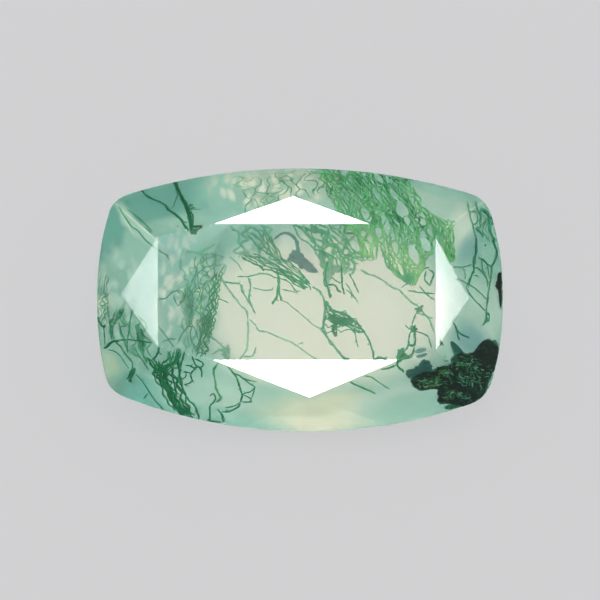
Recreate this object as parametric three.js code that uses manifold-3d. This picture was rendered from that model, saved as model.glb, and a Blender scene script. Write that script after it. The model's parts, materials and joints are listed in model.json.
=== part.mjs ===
// A faceted moss agate: one elongated cushion-cut stone, lying on its lower pavilion flank with the table
// turned up towards the front, as a loose cut stone comes to rest.
//
// The stone is worked the way a cutter works it. A slab with the cushion outline is extruded to the full
// depth, and each facet is then ground flat by taking away everything beyond its plane. While it is cut the
// table faces +Z, the long side runs along X, and z = 0 is the lower edge of the girdle. Millimetres.

import * as THREE from "three";
import { mergeVertices } from "three/addons/utils/BufferGeometryUtils.js";
import Module from "manifold-3d";

const wasm = await Module();
wasm.setup();

// Driving dimensions of the stone.
const LENGTH = 17;
const WIDTH = 11;
const TABLE_HEIGHT = 1.95;
const GIRDLE_TIER_WIDTH = 1.25;
const GIRDLE_TIER_ANGLE = 47;
const CORNER_FACET_ANGLE = 46;
const KEEL_TIER_ANGLE = 34;

// The four corners where the bowed sides would meet, anticlockwise from +X +Y. Cut by hand, they aren't quite
// alike: shift moves each from the mean corner, and rounding is how far from it the round begins.
const MEAN_CORNER = new THREE.Vector2(7.8, 4.15);
const CORNERS = [
  { x: 1, y: 1, shift: [-0.02, 0.08], rounding: 0.6 },
  { x: -1, y: 1, shift: [0.0, 0.07], rounding: 0.5 },
  { x: -1, y: -1, shift: [-0.15, 0.34], rounding: 0.4 },
  { x: 1, y: -1, shift: [0.0, 0.05], rounding: 0.7 },
];
const SIDE_STEPS = 44;
const CORNER_STEPS = 5;

// The crown's facets. azimuth is the way a facet leans in plan, in degrees from +X towards +Y; angle is its
// slope from the girdle plane; reach is how far from the middle its plane cuts the table's level.
const CROWN = {
  // Low triangles on the table's four long edges.
  stars: [
    { azimuth: 90, angle: 13.5, reach: 3.14 },
    { azimuth: 180, angle: 13.5, reach: 5.87 },
    { azimuth: 270, angle: 11.9, reach: 2.47 },
    { azimuth: 0, angle: 14.0, reach: 5.6 },
  ],
  // Broad facets in pairs, which meet in an edge from each table corner to its girdle corner.
  mains: [
    { azimuth: 77.0, angle: 33.8, reach: 3.7 },
    { azimuth: 103.1, angle: 36.1, reach: 3.86 },
    { azimuth: 159.7, angle: 30.8, reach: 6.41 },
    { azimuth: 201.0, angle: 28.7, reach: 6.16 },
    { azimuth: 255.7, angle: 31.8, reach: 3.28 },
    { azimuth: 284.5, angle: 29.2, reach: 3.41 },
    { azimuth: 341.5, angle: 29.2, reach: 5.97 },
    { azimuth: 16.9, angle: 29.7, reach: 6.1 },
  ],
  // Steep triangles that stand on the girdle below the tips of the stars.
  girdleBreaks: [
    { azimuth: 90, angle: 47.5, reach: 4.03 },
    { azimuth: 180, angle: 47.8, reach: 7.06 },
    { azimuth: 270, angle: 42.6, reach: 3.67 },
    { azimuth: 0, angle: 39.5, reach: 6.56 },
  ],
};

// How far in plan the pavilion's corner facets turn from the middle facet of their side.
const LONG_SIDE_TURN = 12;
const SHORT_SIDE_TURN = 19;

// Waste that is sure to be larger than the stone, and slab left over past the keel to be cut away.
const WASTE_SIZE = 4 * LENGTH;
const SLAB_SPARE = 1;
const WELD_DISTANCE = 1e-5;

const toRadians = THREE.MathUtils.degToRad;

// Points of the arc that runs from one point through a second to a third, without the last.
function arcPoints(from, through, to, steps) {
  const chord = new THREE.Vector2().subVectors(to, from);
  const middle = new THREE.Vector2().addVectors(from, to).multiplyScalar(0.5);
  const rise = through.clone().sub(middle);
  const radius = (chord.lengthSq() / 4 + rise.lengthSq()) / (2 * rise.length());
  const centre = through.clone().sub(rise.clone().setLength(radius));
  const start = Math.atan2(from.y - centre.y, from.x - centre.x);
  let sweep = Math.atan2(to.y - centre.y, to.x - centre.x) - start;
  if (sweep < 0) sweep += 2 * Math.PI;
  return Array.from({ length: steps }, (_, i) => {
    const angle = start + (sweep * i) / steps;
    return new THREE.Vector2(centre.x + radius * Math.cos(angle), centre.y + radius * Math.sin(angle));
  });
}

// The cushion outline, anticlockwise: four bowed sides, each an arc, with small rounded corners between.
function cushionOutline() {
  const corners = CORNERS.map(({ x, y, shift }) =>
    new THREE.Vector2(x, y).multiply(MEAN_CORNER).add(new THREE.Vector2(...shift)),
  );
  const reaches = [WIDTH / 2, LENGTH / 2, WIDTH / 2, LENGTH / 2];
  const sides = corners.map((from, i) => {
    const to = corners[(i + 1) % 4];
    const outward = new THREE.Vector2(to.y - from.y, from.x - to.x).normalize();
    const middle = new THREE.Vector2().addVectors(from, to).multiplyScalar(0.5);
    const along = Math.abs(outward.x) > Math.abs(outward.y) ? "x" : "y";
    const bow = (reaches[i] - Math.abs(middle[along])) / Math.abs(outward[along]);
    return arcPoints(from, middle.clone().addScaledVector(outward, bow), to, SIDE_STEPS);
  });
  const outline = [];
  sides.forEach((side, i) => {
    const next = (i + 1) % 4;
    const clearOf = (point, corner) => point.distanceTo(corners[corner]) > CORNERS[corner].rounding;
    const kept = side.filter((point) => clearOf(point, i) && clearOf(point, next));
    const entry = sides[next].find((point) => clearOf(point, next));
    const bend = new THREE.QuadraticBezierCurve(kept[kept.length - 1], corners[next], entry);
    outline.push(...kept, ...bend.getPoints(CORNER_STEPS).slice(1, -1));
  });
  return outline;
}

// A closed mesh as a solid that can be cut.
function solidFrom(geometry) {
  const bare = geometry.clone();
  bare.deleteAttribute("normal");
  bare.deleteAttribute("uv");
  const merged = mergeVertices(bare, WELD_DISTANCE);
  return new wasm.Manifold(
    new wasm.Mesh({
      numProp: 3,
      vertProperties: merged.attributes.position.array,
      triVerts: new Uint32Array(merged.index.array),
    }),
  );
}

function geometryFrom(solid) {
  const mesh = solid.getMesh();
  const geometry = new THREE.BufferGeometry();
  geometry.setAttribute("position", new THREE.BufferAttribute(new Float32Array(mesh.vertProperties), 3));
  geometry.setIndex(new THREE.BufferAttribute(new Uint32Array(mesh.triVerts), 1));
  const flat = geometry.toNonIndexed();
  flat.computeVertexNormals();
  return flat;
}

// Everything beyond a facet's plane, as a block to take away. side is +1 above the girdle and -1 below it,
// and the plane passes at the given reach, measured along the azimuth, at the given level.
function wasteBeyond({ azimuth, angle, reach }, level, side) {
  const turn = toRadians(azimuth);
  const slope = toRadians(angle);
  const outward = new THREE.Vector3(
    Math.cos(turn) * Math.sin(slope),
    Math.sin(turn) * Math.sin(slope),
    side * Math.cos(slope),
  );
  const onPlane = new THREE.Vector3(reach * Math.cos(turn), reach * Math.sin(turn), level);
  const waste = new THREE.BoxGeometry(WASTE_SIZE, WASTE_SIZE, WASTE_SIZE);
  waste.applyQuaternion(new THREE.Quaternion().setFromUnitVectors(new THREE.Vector3(0, 0, 1), outward));
  const centre = onPlane.addScaledVector(outward, WASTE_SIZE / 2);
  waste.translate(centre.x, centre.y, centre.z);
  return solidFrom(waste);
}

// The pavilion's facets: a steep tier of three to each side below the girdle, of which the outer two lean
// towards the corners, then one broad facet to each side. Those of the long sides meet in the keel.
function pavilionFacets() {
  const tierDepth = GIRDLE_TIER_WIDTH * Math.tan(toRadians(GIRDLE_TIER_ANGLE));
  const keelRun = tierDepth / Math.tan(toRadians(KEEL_TIER_ANGLE));
  return [0, 90, 180, 270].flatMap((azimuth) => {
    const shortSide = azimuth % 180 === 0;
    const edge = (shortSide ? LENGTH : WIDTH) / 2;
    const turn = shortSide ? SHORT_SIDE_TURN : LONG_SIDE_TURN;
    const [outwards, sideways] = shortSide ? MEAN_CORNER : [MEAN_CORNER.y, MEAN_CORNER.x];
    const cornerReach = outwards * Math.cos(toRadians(turn)) + sideways * Math.sin(toRadians(turn));
    return [
      { azimuth, angle: GIRDLE_TIER_ANGLE, reach: edge },
      { azimuth: azimuth + turn, angle: CORNER_FACET_ANGLE, reach: cornerReach },
      { azimuth: azimuth - turn, angle: CORNER_FACET_ANGLE, reach: cornerReach },
      { azimuth, angle: KEEL_TIER_ANGLE, reach: edge - GIRDLE_TIER_WIDTH + keelRun },
    ];
  });
}

function cutStone() {
  const keelDepth =
    GIRDLE_TIER_WIDTH * Math.tan(toRadians(GIRDLE_TIER_ANGLE)) +
    (WIDTH / 2 - GIRDLE_TIER_WIDTH) * Math.tan(toRadians(KEEL_TIER_ANGLE));
  const slab = new THREE.ExtrudeGeometry(new THREE.Shape(cushionOutline()), {
    depth: TABLE_HEIGHT + keelDepth + SLAB_SPARE,
    bevelEnabled: false,
  }).translate(0, 0, -keelDepth - SLAB_SPARE);
  const crown = Object.values(CROWN).flat();
  const wastes = [
    ...crown.map((facet) => wasteBeyond(facet, TABLE_HEIGHT, 1)),
    ...pavilionFacets().map((facet) => wasteBeyond(facet, 0, -1)),
  ];
  return geometryFrom(wastes.reduce((stone, waste) => stone.subtract(waste), solidFrom(slab)));
}

// The stone turned about X onto its lower keel facet, then moved so that this facet lies on z = 0 and the
// origin is under the middle of the stone.
function layDown(geometry) {
  geometry.rotateX(toRadians(KEEL_TIER_ANGLE));
  geometry.computeBoundingBox();
  const { min, max } = geometry.boundingBox;
  geometry.translate(-(min.x + max.x) / 2, -(min.y + max.y) / 2, -min.z);
  geometry.computeVertexNormals();
  return geometry;
}

const agate = new THREE.Mesh(
  layDown(cutStone()),
  new THREE.MeshStandardMaterial({ color: 0xa9cdb4, roughness: 0.08, metalness: 0 }),
);
agate.name = "agate";

const stone = new THREE.Group();
stone.add(agate);

export default stone;
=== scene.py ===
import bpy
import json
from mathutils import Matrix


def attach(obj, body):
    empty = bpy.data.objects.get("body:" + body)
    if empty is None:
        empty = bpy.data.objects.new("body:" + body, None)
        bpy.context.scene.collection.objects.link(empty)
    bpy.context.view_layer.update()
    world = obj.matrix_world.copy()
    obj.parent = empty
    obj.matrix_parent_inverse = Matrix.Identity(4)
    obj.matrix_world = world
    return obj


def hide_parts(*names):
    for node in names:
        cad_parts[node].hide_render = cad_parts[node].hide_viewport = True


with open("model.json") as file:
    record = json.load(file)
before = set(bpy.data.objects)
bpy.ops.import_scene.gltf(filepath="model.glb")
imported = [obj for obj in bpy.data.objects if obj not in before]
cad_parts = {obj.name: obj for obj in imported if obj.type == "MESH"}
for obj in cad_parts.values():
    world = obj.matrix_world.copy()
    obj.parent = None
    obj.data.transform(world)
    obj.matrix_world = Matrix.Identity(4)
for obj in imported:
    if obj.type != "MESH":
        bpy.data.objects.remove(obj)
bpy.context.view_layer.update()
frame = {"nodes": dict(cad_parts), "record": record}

import json
import math

import bmesh
import bpy
import numpy as np
from mathutils import Matrix, Vector

bl_info = {
    "name": "Faceted moss agate",
    "version": (1, 0, 0),
    "blender": (4, 5, 0),
    "location": "View3D > Sidebar > Moss Agate",
    "description": "A cushion-cut stone of milky agate with green moss threads inside",
    "category": "Add Mesh",
}

MM = 0.001
STONE_LENGTH = 17 * MM
STONE_NODE = frame["nodes"]["agate"]
TABLE_MOUNT = next(mount for mount in frame["record"]["mounts"] if mount["name"] == "table")

# How much of its length a normal points out of the table: at least this for the crown's facets, and between
# these two for the star facets.
CROWN_FACING = 0.3
STAR_FACING = (0.93, 0.985)

# The photograph's frame, the stone's length in it, and how far the girdle lies below the table.
PICTURE_WIDTH = 600
LENGTH_IN_PIXELS = 405.5
GIRDLE_DEPTH = 1.8 * MM

FLOOR_SIZE = 6.0
FLOOR_GAP = 0.01 * MM

# How far from the stone the lamps stand, in metres, and how bright they look, in watts per square metre and
# steradian.
LAMP_DISTANCE = 0.35
LAMP_RADIANCE = 25


# The stone's shape, and places inside it


def mesh_array(items, name):
    """A three-part property of a mesh's vertices or polygons, as one array with a row for each."""
    values = np.zeros(len(items) * 3)
    items.foreach_get(name, values)
    return values.reshape(-1, 3)


class StoneShape:
    """The facets of the CAD stone as planes, in a frame that looks square on to its table.

    In that frame u runs along the stone, v across it and w out of the table, from the point of the table's
    plane that lies over the middle of the outline. Moss is placed by how it is seen from the front: its u
    and v in millimetres, and a depth below the surface that covers it there.
    """

    # Times that a place is pushed in from the facet it is worst beyond, and times that the shift between seen
    # and real places is evened out: at least, and more for each millimetre of depth.
    PUSHES = 12
    EVENINGS = (3, 6)

    def __init__(self, node, table_axis):
        self.out = np.array(table_axis) / np.linalg.norm(table_axis)
        self.along = np.array([1.0, 0.0, 0.0])
        self.across = np.cross(self.out, self.along)
        self.axes = np.stack([self.along, self.across, self.out])
        corners = mesh_array(node.data.vertices, "co") @ self.axes.T
        low, high = corners.min(0), corners.max(0)
        self.middle = np.array([(low[0] + high[0]) / 2, (low[1] + high[1]) / 2, high[2]])
        normals = mesh_array(node.data.polygons, "normal") @ self.axes.T
        centres = mesh_array(node.data.polygons, "center") @ self.axes.T - self.middle
        reaches = (centres * normals).sum(1)
        areas = np.zeros(len(normals))
        node.data.polygons.foreach_get("area", areas)
        alike = np.round(np.column_stack([normals * 1000, reaches / MM * 100]))
        _, first, facet = np.unique(alike, axis=0, return_index=True, return_inverse=True)
        self.normals, self.reaches = normals[first], reaches[first]
        self.areas = np.bincount(facet.ravel(), areas)
        self.crown = self.normals[:, 2] > CROWN_FACING

    def placed(self, local):
        """Points of the table's frame, in metres, in the frame of the scene."""
        return (local + self.middle) @ self.axes

    def kept_inside(self, local, clearance):
        """Points moved back into the stone, straight in from every facet that they are too close to."""
        local = local.copy()
        rows = np.arange(len(local))
        for _ in range(self.PUSHES):
            excess = local @ self.normals.T - self.reaches + clearance[:, None]
            worst = excess.argmax(1)
            local -= np.maximum(excess[rows, worst], 0)[:, None] * self.normals[worst]
        return local

    def under_surface(self, seen, depth, clearance, index, in_line=True):
        """Where something lies that is seen at these places, from the front and through the polished facets.

        The covering facet is the crown plane that is lowest there. The line of sight meets it, bends by
        Snell's law and runs on until it is the depth below the surface. A facet's edge would break a thread
        in two, so for points that follow each other in line the way from where a point is seen to where it
        lies is evened out along them, more where they lie deeper.
        """
        seen = np.asarray(seen) * MM
        depth = np.broadcast_to(depth, len(seen)) * MM
        normals, reaches = self.normals[self.crown], self.reaches[self.crown]
        heights = (reaches - seen @ normals[:, :2].T) / normals[:, 2]
        facet = heights.argmin(1)
        top = heights[np.arange(len(seen)), facet]
        normal = normals[facet]
        cosine = normal[:, 2]
        bent = cosine / index - np.sqrt(1 - (1 - cosine**2) / index**2)
        ray = np.array([0, 0, -1 / index]) + bent[:, None] * normal
        drop = np.column_stack([np.zeros_like(seen), top]) + ray * (depth / -ray[:, 2])[:, None]
        if in_line:
            at_least, more = self.EVENINGS
            for _ in range(int(at_least + more * depth.mean() / MM)):
                drop[1:-1] = drop[:-2] / 4 + drop[1:-1] / 2 + drop[2:] / 4
        local = np.column_stack([seen, np.zeros(len(seen))]) + drop
        return self.placed(self.kept_inside(local, clearance))


SHAPE = StoneShape(STONE_NODE, TABLE_MOUNT["axis"])


# Settings


def colour_setting(name, description, default):
    """A property that holds a colour."""
    return bpy.props.FloatVectorProperty(
        name=name, description=description, subtype="COLOR", size=3, min=0.0, max=1.0, default=default
    )


class StoneSettings(bpy.types.PropertyGroup):
    refractive_index: bpy.props.FloatProperty(
        name="Refractive index", description="How strongly the agate bends light",
        default=1.54, min=1.0, max=2.5,
    )
    haze: bpy.props.FloatProperty(
        name="Haze", description="How often light is scattered in the milky body, times per metre",
        default=220.0, min=0.0, max=5000.0,
    )
    haze_colour: colour_setting("Haze colour", "Colour that the haze scatters", (0.965, 0.99, 0.95))
    softness: bpy.props.FloatProperty(
        name="Softness", description="Roughness under the polish, which softens what lies deep",
        default=0.18, min=0.0, max=1.0, subtype="FACTOR",
    )
    edge_width: bpy.props.FloatProperty(
        name="Edge width", description="Width of the rounding on the facet edges",
        default=0.03 * MM, min=0.0, max=0.5 * MM, unit="LENGTH", precision=5,
    )
    cream: colour_setting("Cream", "Tint of the clear middle", (1.0, 0.96, 0.78))
    pale: colour_setting("Pale green", "Tint of the pale parts round the middle", (0.45, 0.68, 0.55))
    sea: colour_setting("Sea green", "Tint of the greener parts", (0.20, 0.49, 0.38))
    teal: colour_setting("Teal", "Tint of the deepest green parts by the girdle", (0.07, 0.30, 0.23))
    blue: colour_setting("Blue", "Tint of the blue blotches", (0.13, 0.36, 0.36))
    straw: colour_setting("Straw", "Tint of the yellow part below the table", (0.76, 0.74, 0.50))
    leaf: colour_setting("Leaf green", "Tint of the yellow-green parts", (0.56, 0.69, 0.42))


class MossSettings(bpy.types.PropertyGroup):
    thickness: bpy.props.FloatProperty(
        name="Thickness", description="Thickness of the moss threads, as a share of the photographed ones",
        default=1.0, min=0.2, max=3.0, subtype="FACTOR",
    )
    black: colour_setting("Black", "Colour of the dark mass", (0.0003, 0.009, 0.0065))
    dark: colour_setting("Dark", "Colour of the darkest threads", (0.0003, 0.175, 0.072))
    middle: colour_setting("Middle", "Colour of most of the moss", (0.012, 0.250, 0.115))
    bright: colour_setting("Bright", "Colour of the brightest moss", (0.270, 0.540, 0.240))
    cool: colour_setting("Cool", "Colour that deep moss turns to", (0.140, 0.420, 0.320))
    deep: colour_setting("Deep teal", "Colour of the blurred blots", (0.010, 0.150, 0.165))
    # The curls on the dark mass are painted glints: pale and yellow-green strokes for light sparkling off it.
    lichen: colour_setting("Lichen", "Colour of the yellow-green curls", (0.120, 0.220, 0.050))
    curls: colour_setting("Curls", "Colour of the pale curls on the dark mass", (0.42, 0.56, 0.46))


class StageSettings(bpy.types.PropertyGroup):
    floor_colour: colour_setting("Floor", "Colour of the floor", (0.0365, 0.0365, 0.0372))
    floor_glow: bpy.props.FloatProperty(
        name="Floor glow", description="Strength of the even light that the floor gives, like a light table",
        default=0.545, min=0.0, max=10.0,
    )
    light: bpy.props.FloatProperty(
        name="Light", description="Strength of the soft light from all round", default=2.6, min=0.0, max=10.0
    )
    mirrored: bpy.props.FloatProperty(
        name="Mirrored light", description="How much of the soft light the polished facets mirror",
        default=0.06, min=0.0, max=1.0, subtype="FACTOR",
    )
    lamp_slide: bpy.props.FloatProperty(
        name="Lamp slide",
        description="How far inwards the left and right lamps stand, so that their star facets fade",
        default=0.0435, min=0.0, max=0.2, unit="LENGTH", precision=4,
    )
    lamp_size: bpy.props.FloatProperty(
        name="Lamp size", description="Width of the round lamps that the four star facets mirror",
        default=0.12, min=0.01, max=1.0, unit="LENGTH",
    )
    focal_length: bpy.props.FloatProperty(
        name="Focal length", description="Focal length of the camera", default=150.0, min=20.0, max=400.0
    )


# Lines and noise


def smooth_curve(points, step):
    """A curve through the points, sampled about every step.

    Between two points it is the cubic whose slope at each of them is half the step from the point before to
    the point after (Catmull-Rom).
    """
    points = np.asarray(points, float)
    lengths = np.linalg.norm(np.diff(points[:, :2], axis=0), axis=1)
    reach = np.concatenate([[0], np.cumsum(lengths)])
    count = max(int(reach[-1] / step) + 1, 5)
    at = np.interp(np.linspace(0, reach[-1], count), reach, np.arange(len(points)))
    low = np.minimum(at.astype(int), len(points) - 2)
    t = (at - low)[:, None]
    around = np.concatenate([2 * points[:1] - points[1:2], points, 2 * points[-1:] - points[-2:-1]])
    p0, p1, p2, p3 = (around[low + offset] for offset in range(4))
    bend = 2 * p0 - 5 * p1 + 4 * p2 - p3 + t * (3 * (p1 - p2) + p3 - p0)
    return p1 + 0.5 * t * (p2 - p0 + t * bend)


def run_length(curve):
    """Distance along a curve at each of its points."""
    steps = np.linalg.norm(np.diff(curve, axis=0), axis=1)
    return np.concatenate([[0], np.cumsum(steps)])


def spaced(curve, at, places):
    """Points of a flat curve at these places along it, given the place of each of its own points."""
    return np.stack([np.interp(places, at, curve[:, 0]), np.interp(places, at, curve[:, 1])], -1)


def turned(angle):
    """The unit vectors along and across a direction turned by this angle in radians, as rows."""
    return np.array([[math.cos(angle), math.sin(angle)], [-math.sin(angle), math.cos(angle)]])


def oval(middle, half_sizes, degrees, corners=16):
    """Corners of an ellipse as an outline: the half sizes times cosine and sine, turned and moved."""
    turn = np.arange(corners) / corners * 2 * math.pi
    return np.stack([np.cos(turn), np.sin(turn)], -1) * half_sizes @ turned(math.radians(degrees)) + middle


def closed_rings(rows, cols):
    """Faces of a closed skin of rings: quads between the rings, then a fan to a point at either end.

    The points are numbered round each ring, ring by ring, and the start and end point come last.
    """
    ring, spoke = np.meshgrid(np.arange(rows - 1), np.arange(cols), indexing="ij")
    after = (spoke + 1) % cols
    sheet = [ring * cols + spoke, (ring + 1) * cols + spoke, (ring + 1) * cols + after, ring * cols + after]
    spoke = np.arange(cols)
    after = (spoke + 1) % cols
    last = (rows - 1) * cols
    start = [np.full(cols, rows * cols), spoke, after]
    end = [np.full(cols, rows * cols + 1), last + after, last + spoke]
    return np.stack(sheet, -1).reshape(-1, 4), np.stack(start, -1), np.stack(end, -1)


def ripple(rng, at, longest, shortest, count=5):
    """Smooth noise from -1 to 1 on a line: a sum of sines with random phases, the longer ones stronger."""
    waves = np.geomspace(longest, shortest, count)
    weights = np.sqrt(waves)
    phases = rng.uniform(0, 2 * math.pi, count)
    sines = np.sin(2 * math.pi * np.asarray(at)[..., None] / waves + phases)
    return (sines * weights).sum(-1) / weights.sum()


def ripple_field(rng, places, longest, shortest, count=14):
    """Smooth noise from about -1 to 1 on a plane: a sum of plane waves in random directions."""
    waves = np.geomspace(longest, shortest, count)
    turns = rng.uniform(0, 2 * math.pi, count)
    phases = rng.uniform(0, 2 * math.pi, count)
    facing = np.stack([np.cos(turns), np.sin(turns)]) / waves
    return np.sin(2 * math.pi * (places @ facing) + phases).sum(-1) / math.sqrt(count)


# Moss shapes


class Moss:
    """Gathers moss shapes and makes one mesh of them.

    Every vertex has a tone, from 0 for dark to 1 for bright, and a coolness, from 0 for green to 1 for the
    blue-green of deep moss.
    """

    # How close to a facet a lump may come, in metres, and how many points its smoothed outline has.
    CLEARANCE = 0.02 * MM
    EDGE_POINTS = 600

    # The width from which a branch is a bundle, and the length and width of strokes, in millimetres.
    STOUT = 0.085
    STROKE_LENGTH = (0.05, 0.24)
    STROKE_WIDTH = (0.016, 0.032)

    def __init__(self, seed, sides=6):
        self.rng = np.random.default_rng(seed)
        self.index = bpy.context.scene.agate_stone.refractive_index
        self.thickness = bpy.context.scene.agate_moss.thickness
        self.sides = sides
        self.vertices = []
        self.faces = []
        self.tones = []
        self.cools = []
        self.count = 0

    def add(self, vertices, faces, tone, cool):
        """Takes in one shape, with its tone and coolness for each vertex or for all."""
        self.vertices.append(vertices)
        for group in faces:
            self.faces.extend((group + self.count).tolist())
        self.tones.append(np.broadcast_to(tone, len(vertices)))
        self.cools.append(np.broadcast_to(cool, len(vertices)))
        self.count += len(vertices)

    def tube(self, points, radius, flatness, tone, cool):
        """A closed tube: rings of the given radius across the line, joined up, and a tip at each end.

        A ring point stands off the line by the radius times the cosine of its angle sideways and the sine
        towards the table, the latter times the flatness.
        """
        along = np.gradient(points, axis=0)
        along /= np.linalg.norm(along, axis=1)[:, None]
        side = np.cross(along, SHAPE.out)
        side /= np.linalg.norm(side, axis=1)[:, None] + 1e-12
        up = np.cross(side, along)
        turn = np.arange(self.sides) / self.sides * 2 * math.pi
        offset = np.cos(turn)[:, None] * side[:, None] + flatness * np.sin(turn)[:, None] * up[:, None]
        rings = points[:, None] + radius[:, None, None] * offset
        tips = points[[0, -1]] + along[[0, -1]] * np.array([[-0.5], [0.5]]) * radius[[0, -1], None]
        tone = np.append(np.repeat(tone, self.sides), [tone[0], tone[-1]])
        faces = closed_rings(len(points), self.sides)
        self.add(np.concatenate([rings.reshape(-1, 3), tips]), faces, tone, cool)

    def thread(self, route, depth, width, tone, cool=0.0, wobble=0.02, flatness=1.0, step=0.06):
        """One moss thread along a route of seen places in millimetres, with a knobbly, tapering outline.

        The smooth curve through the route is moved sideways by the wobble times noise. Depth, width and tone
        run evenly from value to value along it. The radius is half the width times 0.85 plus knobs, which
        are a longer noise and the bumps alone of a shorter one. Within twice the width of either end it
        falls as the square root of the distance left.
        """
        rng = self.rng
        curve = smooth_curve(route, step)
        at = run_length(curve)
        along = np.gradient(curve, axis=0)
        along /= np.linalg.norm(along, axis=1)[:, None] + 1e-12
        sideways = np.stack([-along[:, 1], along[:, 0]], -1)
        curve = curve + sideways * (wobble * ripple(rng, at, 1.6, 0.2, 7))[:, None]
        depth, widths, tone = (
            np.interp(at, np.linspace(0, 1, np.size(values)) * at[-1], np.ravel(values))
            for values in (depth, width, tone)
        )
        depth = depth * (1 + 0.12 * ripple(rng, at, 2.0, 0.6))
        knobs = 0.3 * ripple(rng, at, 0.7, 0.2) + 0.7 * np.maximum(ripple(rng, at, 0.3, 0.1), 0)
        radius = widths / 2 * self.thickness * (0.85 + knobs)
        to_end = np.minimum(at, at[-1] - at) + 0.02
        radius *= np.sqrt(np.clip(to_end / np.maximum(2 * widths, 0.03), 0.12, 1))
        points = SHAPE.under_surface(curve, depth, (radius + 0.015) * MM, self.index)
        tones = np.clip(tone + 0.22 * ripple(rng, at, 0.8, 0.12), 0, 1)
        self.tube(points, radius * MM, flatness, tones, cool)
        return curve, along, widths

    def branch(self, route, depth, width, tone, cool=0.0, wobble=0.04, spurs=1.0):
        """A moss thread with short side spurs, so many to the millimetre, that lean forwards from it.

        A stout one is a bundle: a thinner core, and fine threads of differing tone that wind along beside it.
        """
        rng = self.rng
        stout = np.max(width) > self.STOUT
        core = np.multiply(width, 0.55) if stout else width
        curve, along, widths = self.thread(route, depth, core, tone, cool, wobble)
        if stout:
            for _ in range(int(np.max(width) / 0.04)):
                spread = np.mean(width) * rng.uniform(0.6, 1.1)
                self.thread(route, np.multiply(depth, rng.uniform(0.8, 1.6)), rng.uniform(0.03, 0.07),
                            np.clip(tone + rng.uniform(-0.15, 0.35), 0, 1), cool, spread)
        count = rng.poisson(spurs * run_length(curve)[-1])
        for at in rng.integers(1, len(curve) - 1, count):
            lean = rng.choice([-1, 1]) * rng.uniform(0.5, 1.2)
            length = rng.uniform(0.04, 0.14)
            heading = along[at] @ turned(lean)
            curl = np.array([-heading[1], heading[0]]) * rng.uniform(-0.3, 0.3) * length
            twig = [curve[at], curve[at] + heading * length / 2 + curl, curve[at] + heading * length]
            deep = np.interp(at / len(curve), np.linspace(0, 1, np.size(depth)), np.ravel(depth))
            thin = max(widths[at] * rng.uniform(0.4, 0.8), 0.025)
            self.thread(twig, deep, thin, tone, cool, 0.005, step=0.04)

    def net(self, left, right, count, depth, width, tone, cool=0.0, wave=0.8, swing=0.6, holes=(),
            shades=(), ragged=0.05, flatness=0.6, warp=0.1, step=0.08):
        """A lacy sheet of threads between two guide curves.

        A thread lies at its own fraction of the way from one guide to the other. It swings to both sides as
        a sine of the given wavelength, and its neighbours swing the other way, so they meet and part and
        leave gaps like lenses. The whole sheet is then warped by smooth noise. A hole is an ellipse of a
        place, half width, half length and turn, and points within twice its size are pushed out until none
        is left inside it. A shade is an ellipse too, with the change of tone at its middle, which falls off
        as a Gaussian. Threads begin and end raggedly, within that share of their length.
        """
        rng = self.rng
        guides = [smooth_curve(guide, 0.05) for guide in (left, right)]
        length = np.mean([run_length(guide)[-1] for guide in guides])
        rows = max(int(length / step), 6)
        along = np.linspace(0, 1, rows)
        edges = [spaced(guide, run_length(guide) / run_length(guide)[-1], along) for guide in guides]
        across = edges[1] - edges[0]
        share = np.linspace(0, 1, count)[:, None]
        lines = edges[0] + across * share[..., None]
        spacing = np.linalg.norm(across, axis=1) / (count - 1)
        sideways = across / (np.linalg.norm(across, axis=1)[:, None] + 1e-9)
        drift = ripple_field(rng, np.stack(np.broadcast_arrays(along * length, share * 3), -1), 5.0, 1.0, 8)
        phases = 2 * math.pi * along * length / wave + math.pi * np.arange(count)[:, None] + 2.5 * drift
        swings = np.sin(phases)
        swings = swings * (0.85 + 0.5 * ripple_field(rng, lines, 1.5, 0.4, 8))
        lines = lines + (swing * spacing * swings)[..., None] * sideways
        lines = lines + warp * np.stack([ripple_field(rng, lines, 2.2, 0.45) for _ in range(2)], -1)
        for u, v, half_width, half_length, turn in holes:
            axes = turned(math.radians(turn))
            size = np.array([half_length, half_width]) + width / 2
            near = (lines - (u, v)) @ axes.T / size
            far = np.linalg.norm(near, axis=-1)
            pushed = np.where(far < 2, (1 + far / 2) / (far + 1e-6), 1)
            lines = (near * pushed[..., None] * size) @ axes + (u, v)
        deep = np.interp(along, np.linspace(0, 1, np.size(depth)), np.ravel(depth))
        depths = np.maximum(deep * (1 + 0.3 * ripple_field(rng, lines, 3.0, 0.7, 8)), 0.04)
        tones = tone + rng.normal(0, 0.05, (count, 1)) + 0.08 * ripple_field(rng, lines, 1.5, 0.3)
        for u, v, half_width, half_length, turn, change in shades:
            near = (lines - (u, v)) @ turned(math.radians(turn)).T / (half_length, half_width)
            tones = tones + change * np.exp(-(near**2).sum(-1))
        for line, line_depths, shade in zip(lines, depths, tones):
            first = int(rng.uniform(0, ragged) * rows)
            last = rows - int(rng.uniform(0, ragged) * rows)
            shade = shade[first:last]
            self.thread(line[first:last], line_depths[first:last], width * rng.uniform(0.75, 1.25), shade,
                        np.clip(cool + rng.normal(0, 0.06), 0, 1), 0.006, flatness, step=step)

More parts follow.
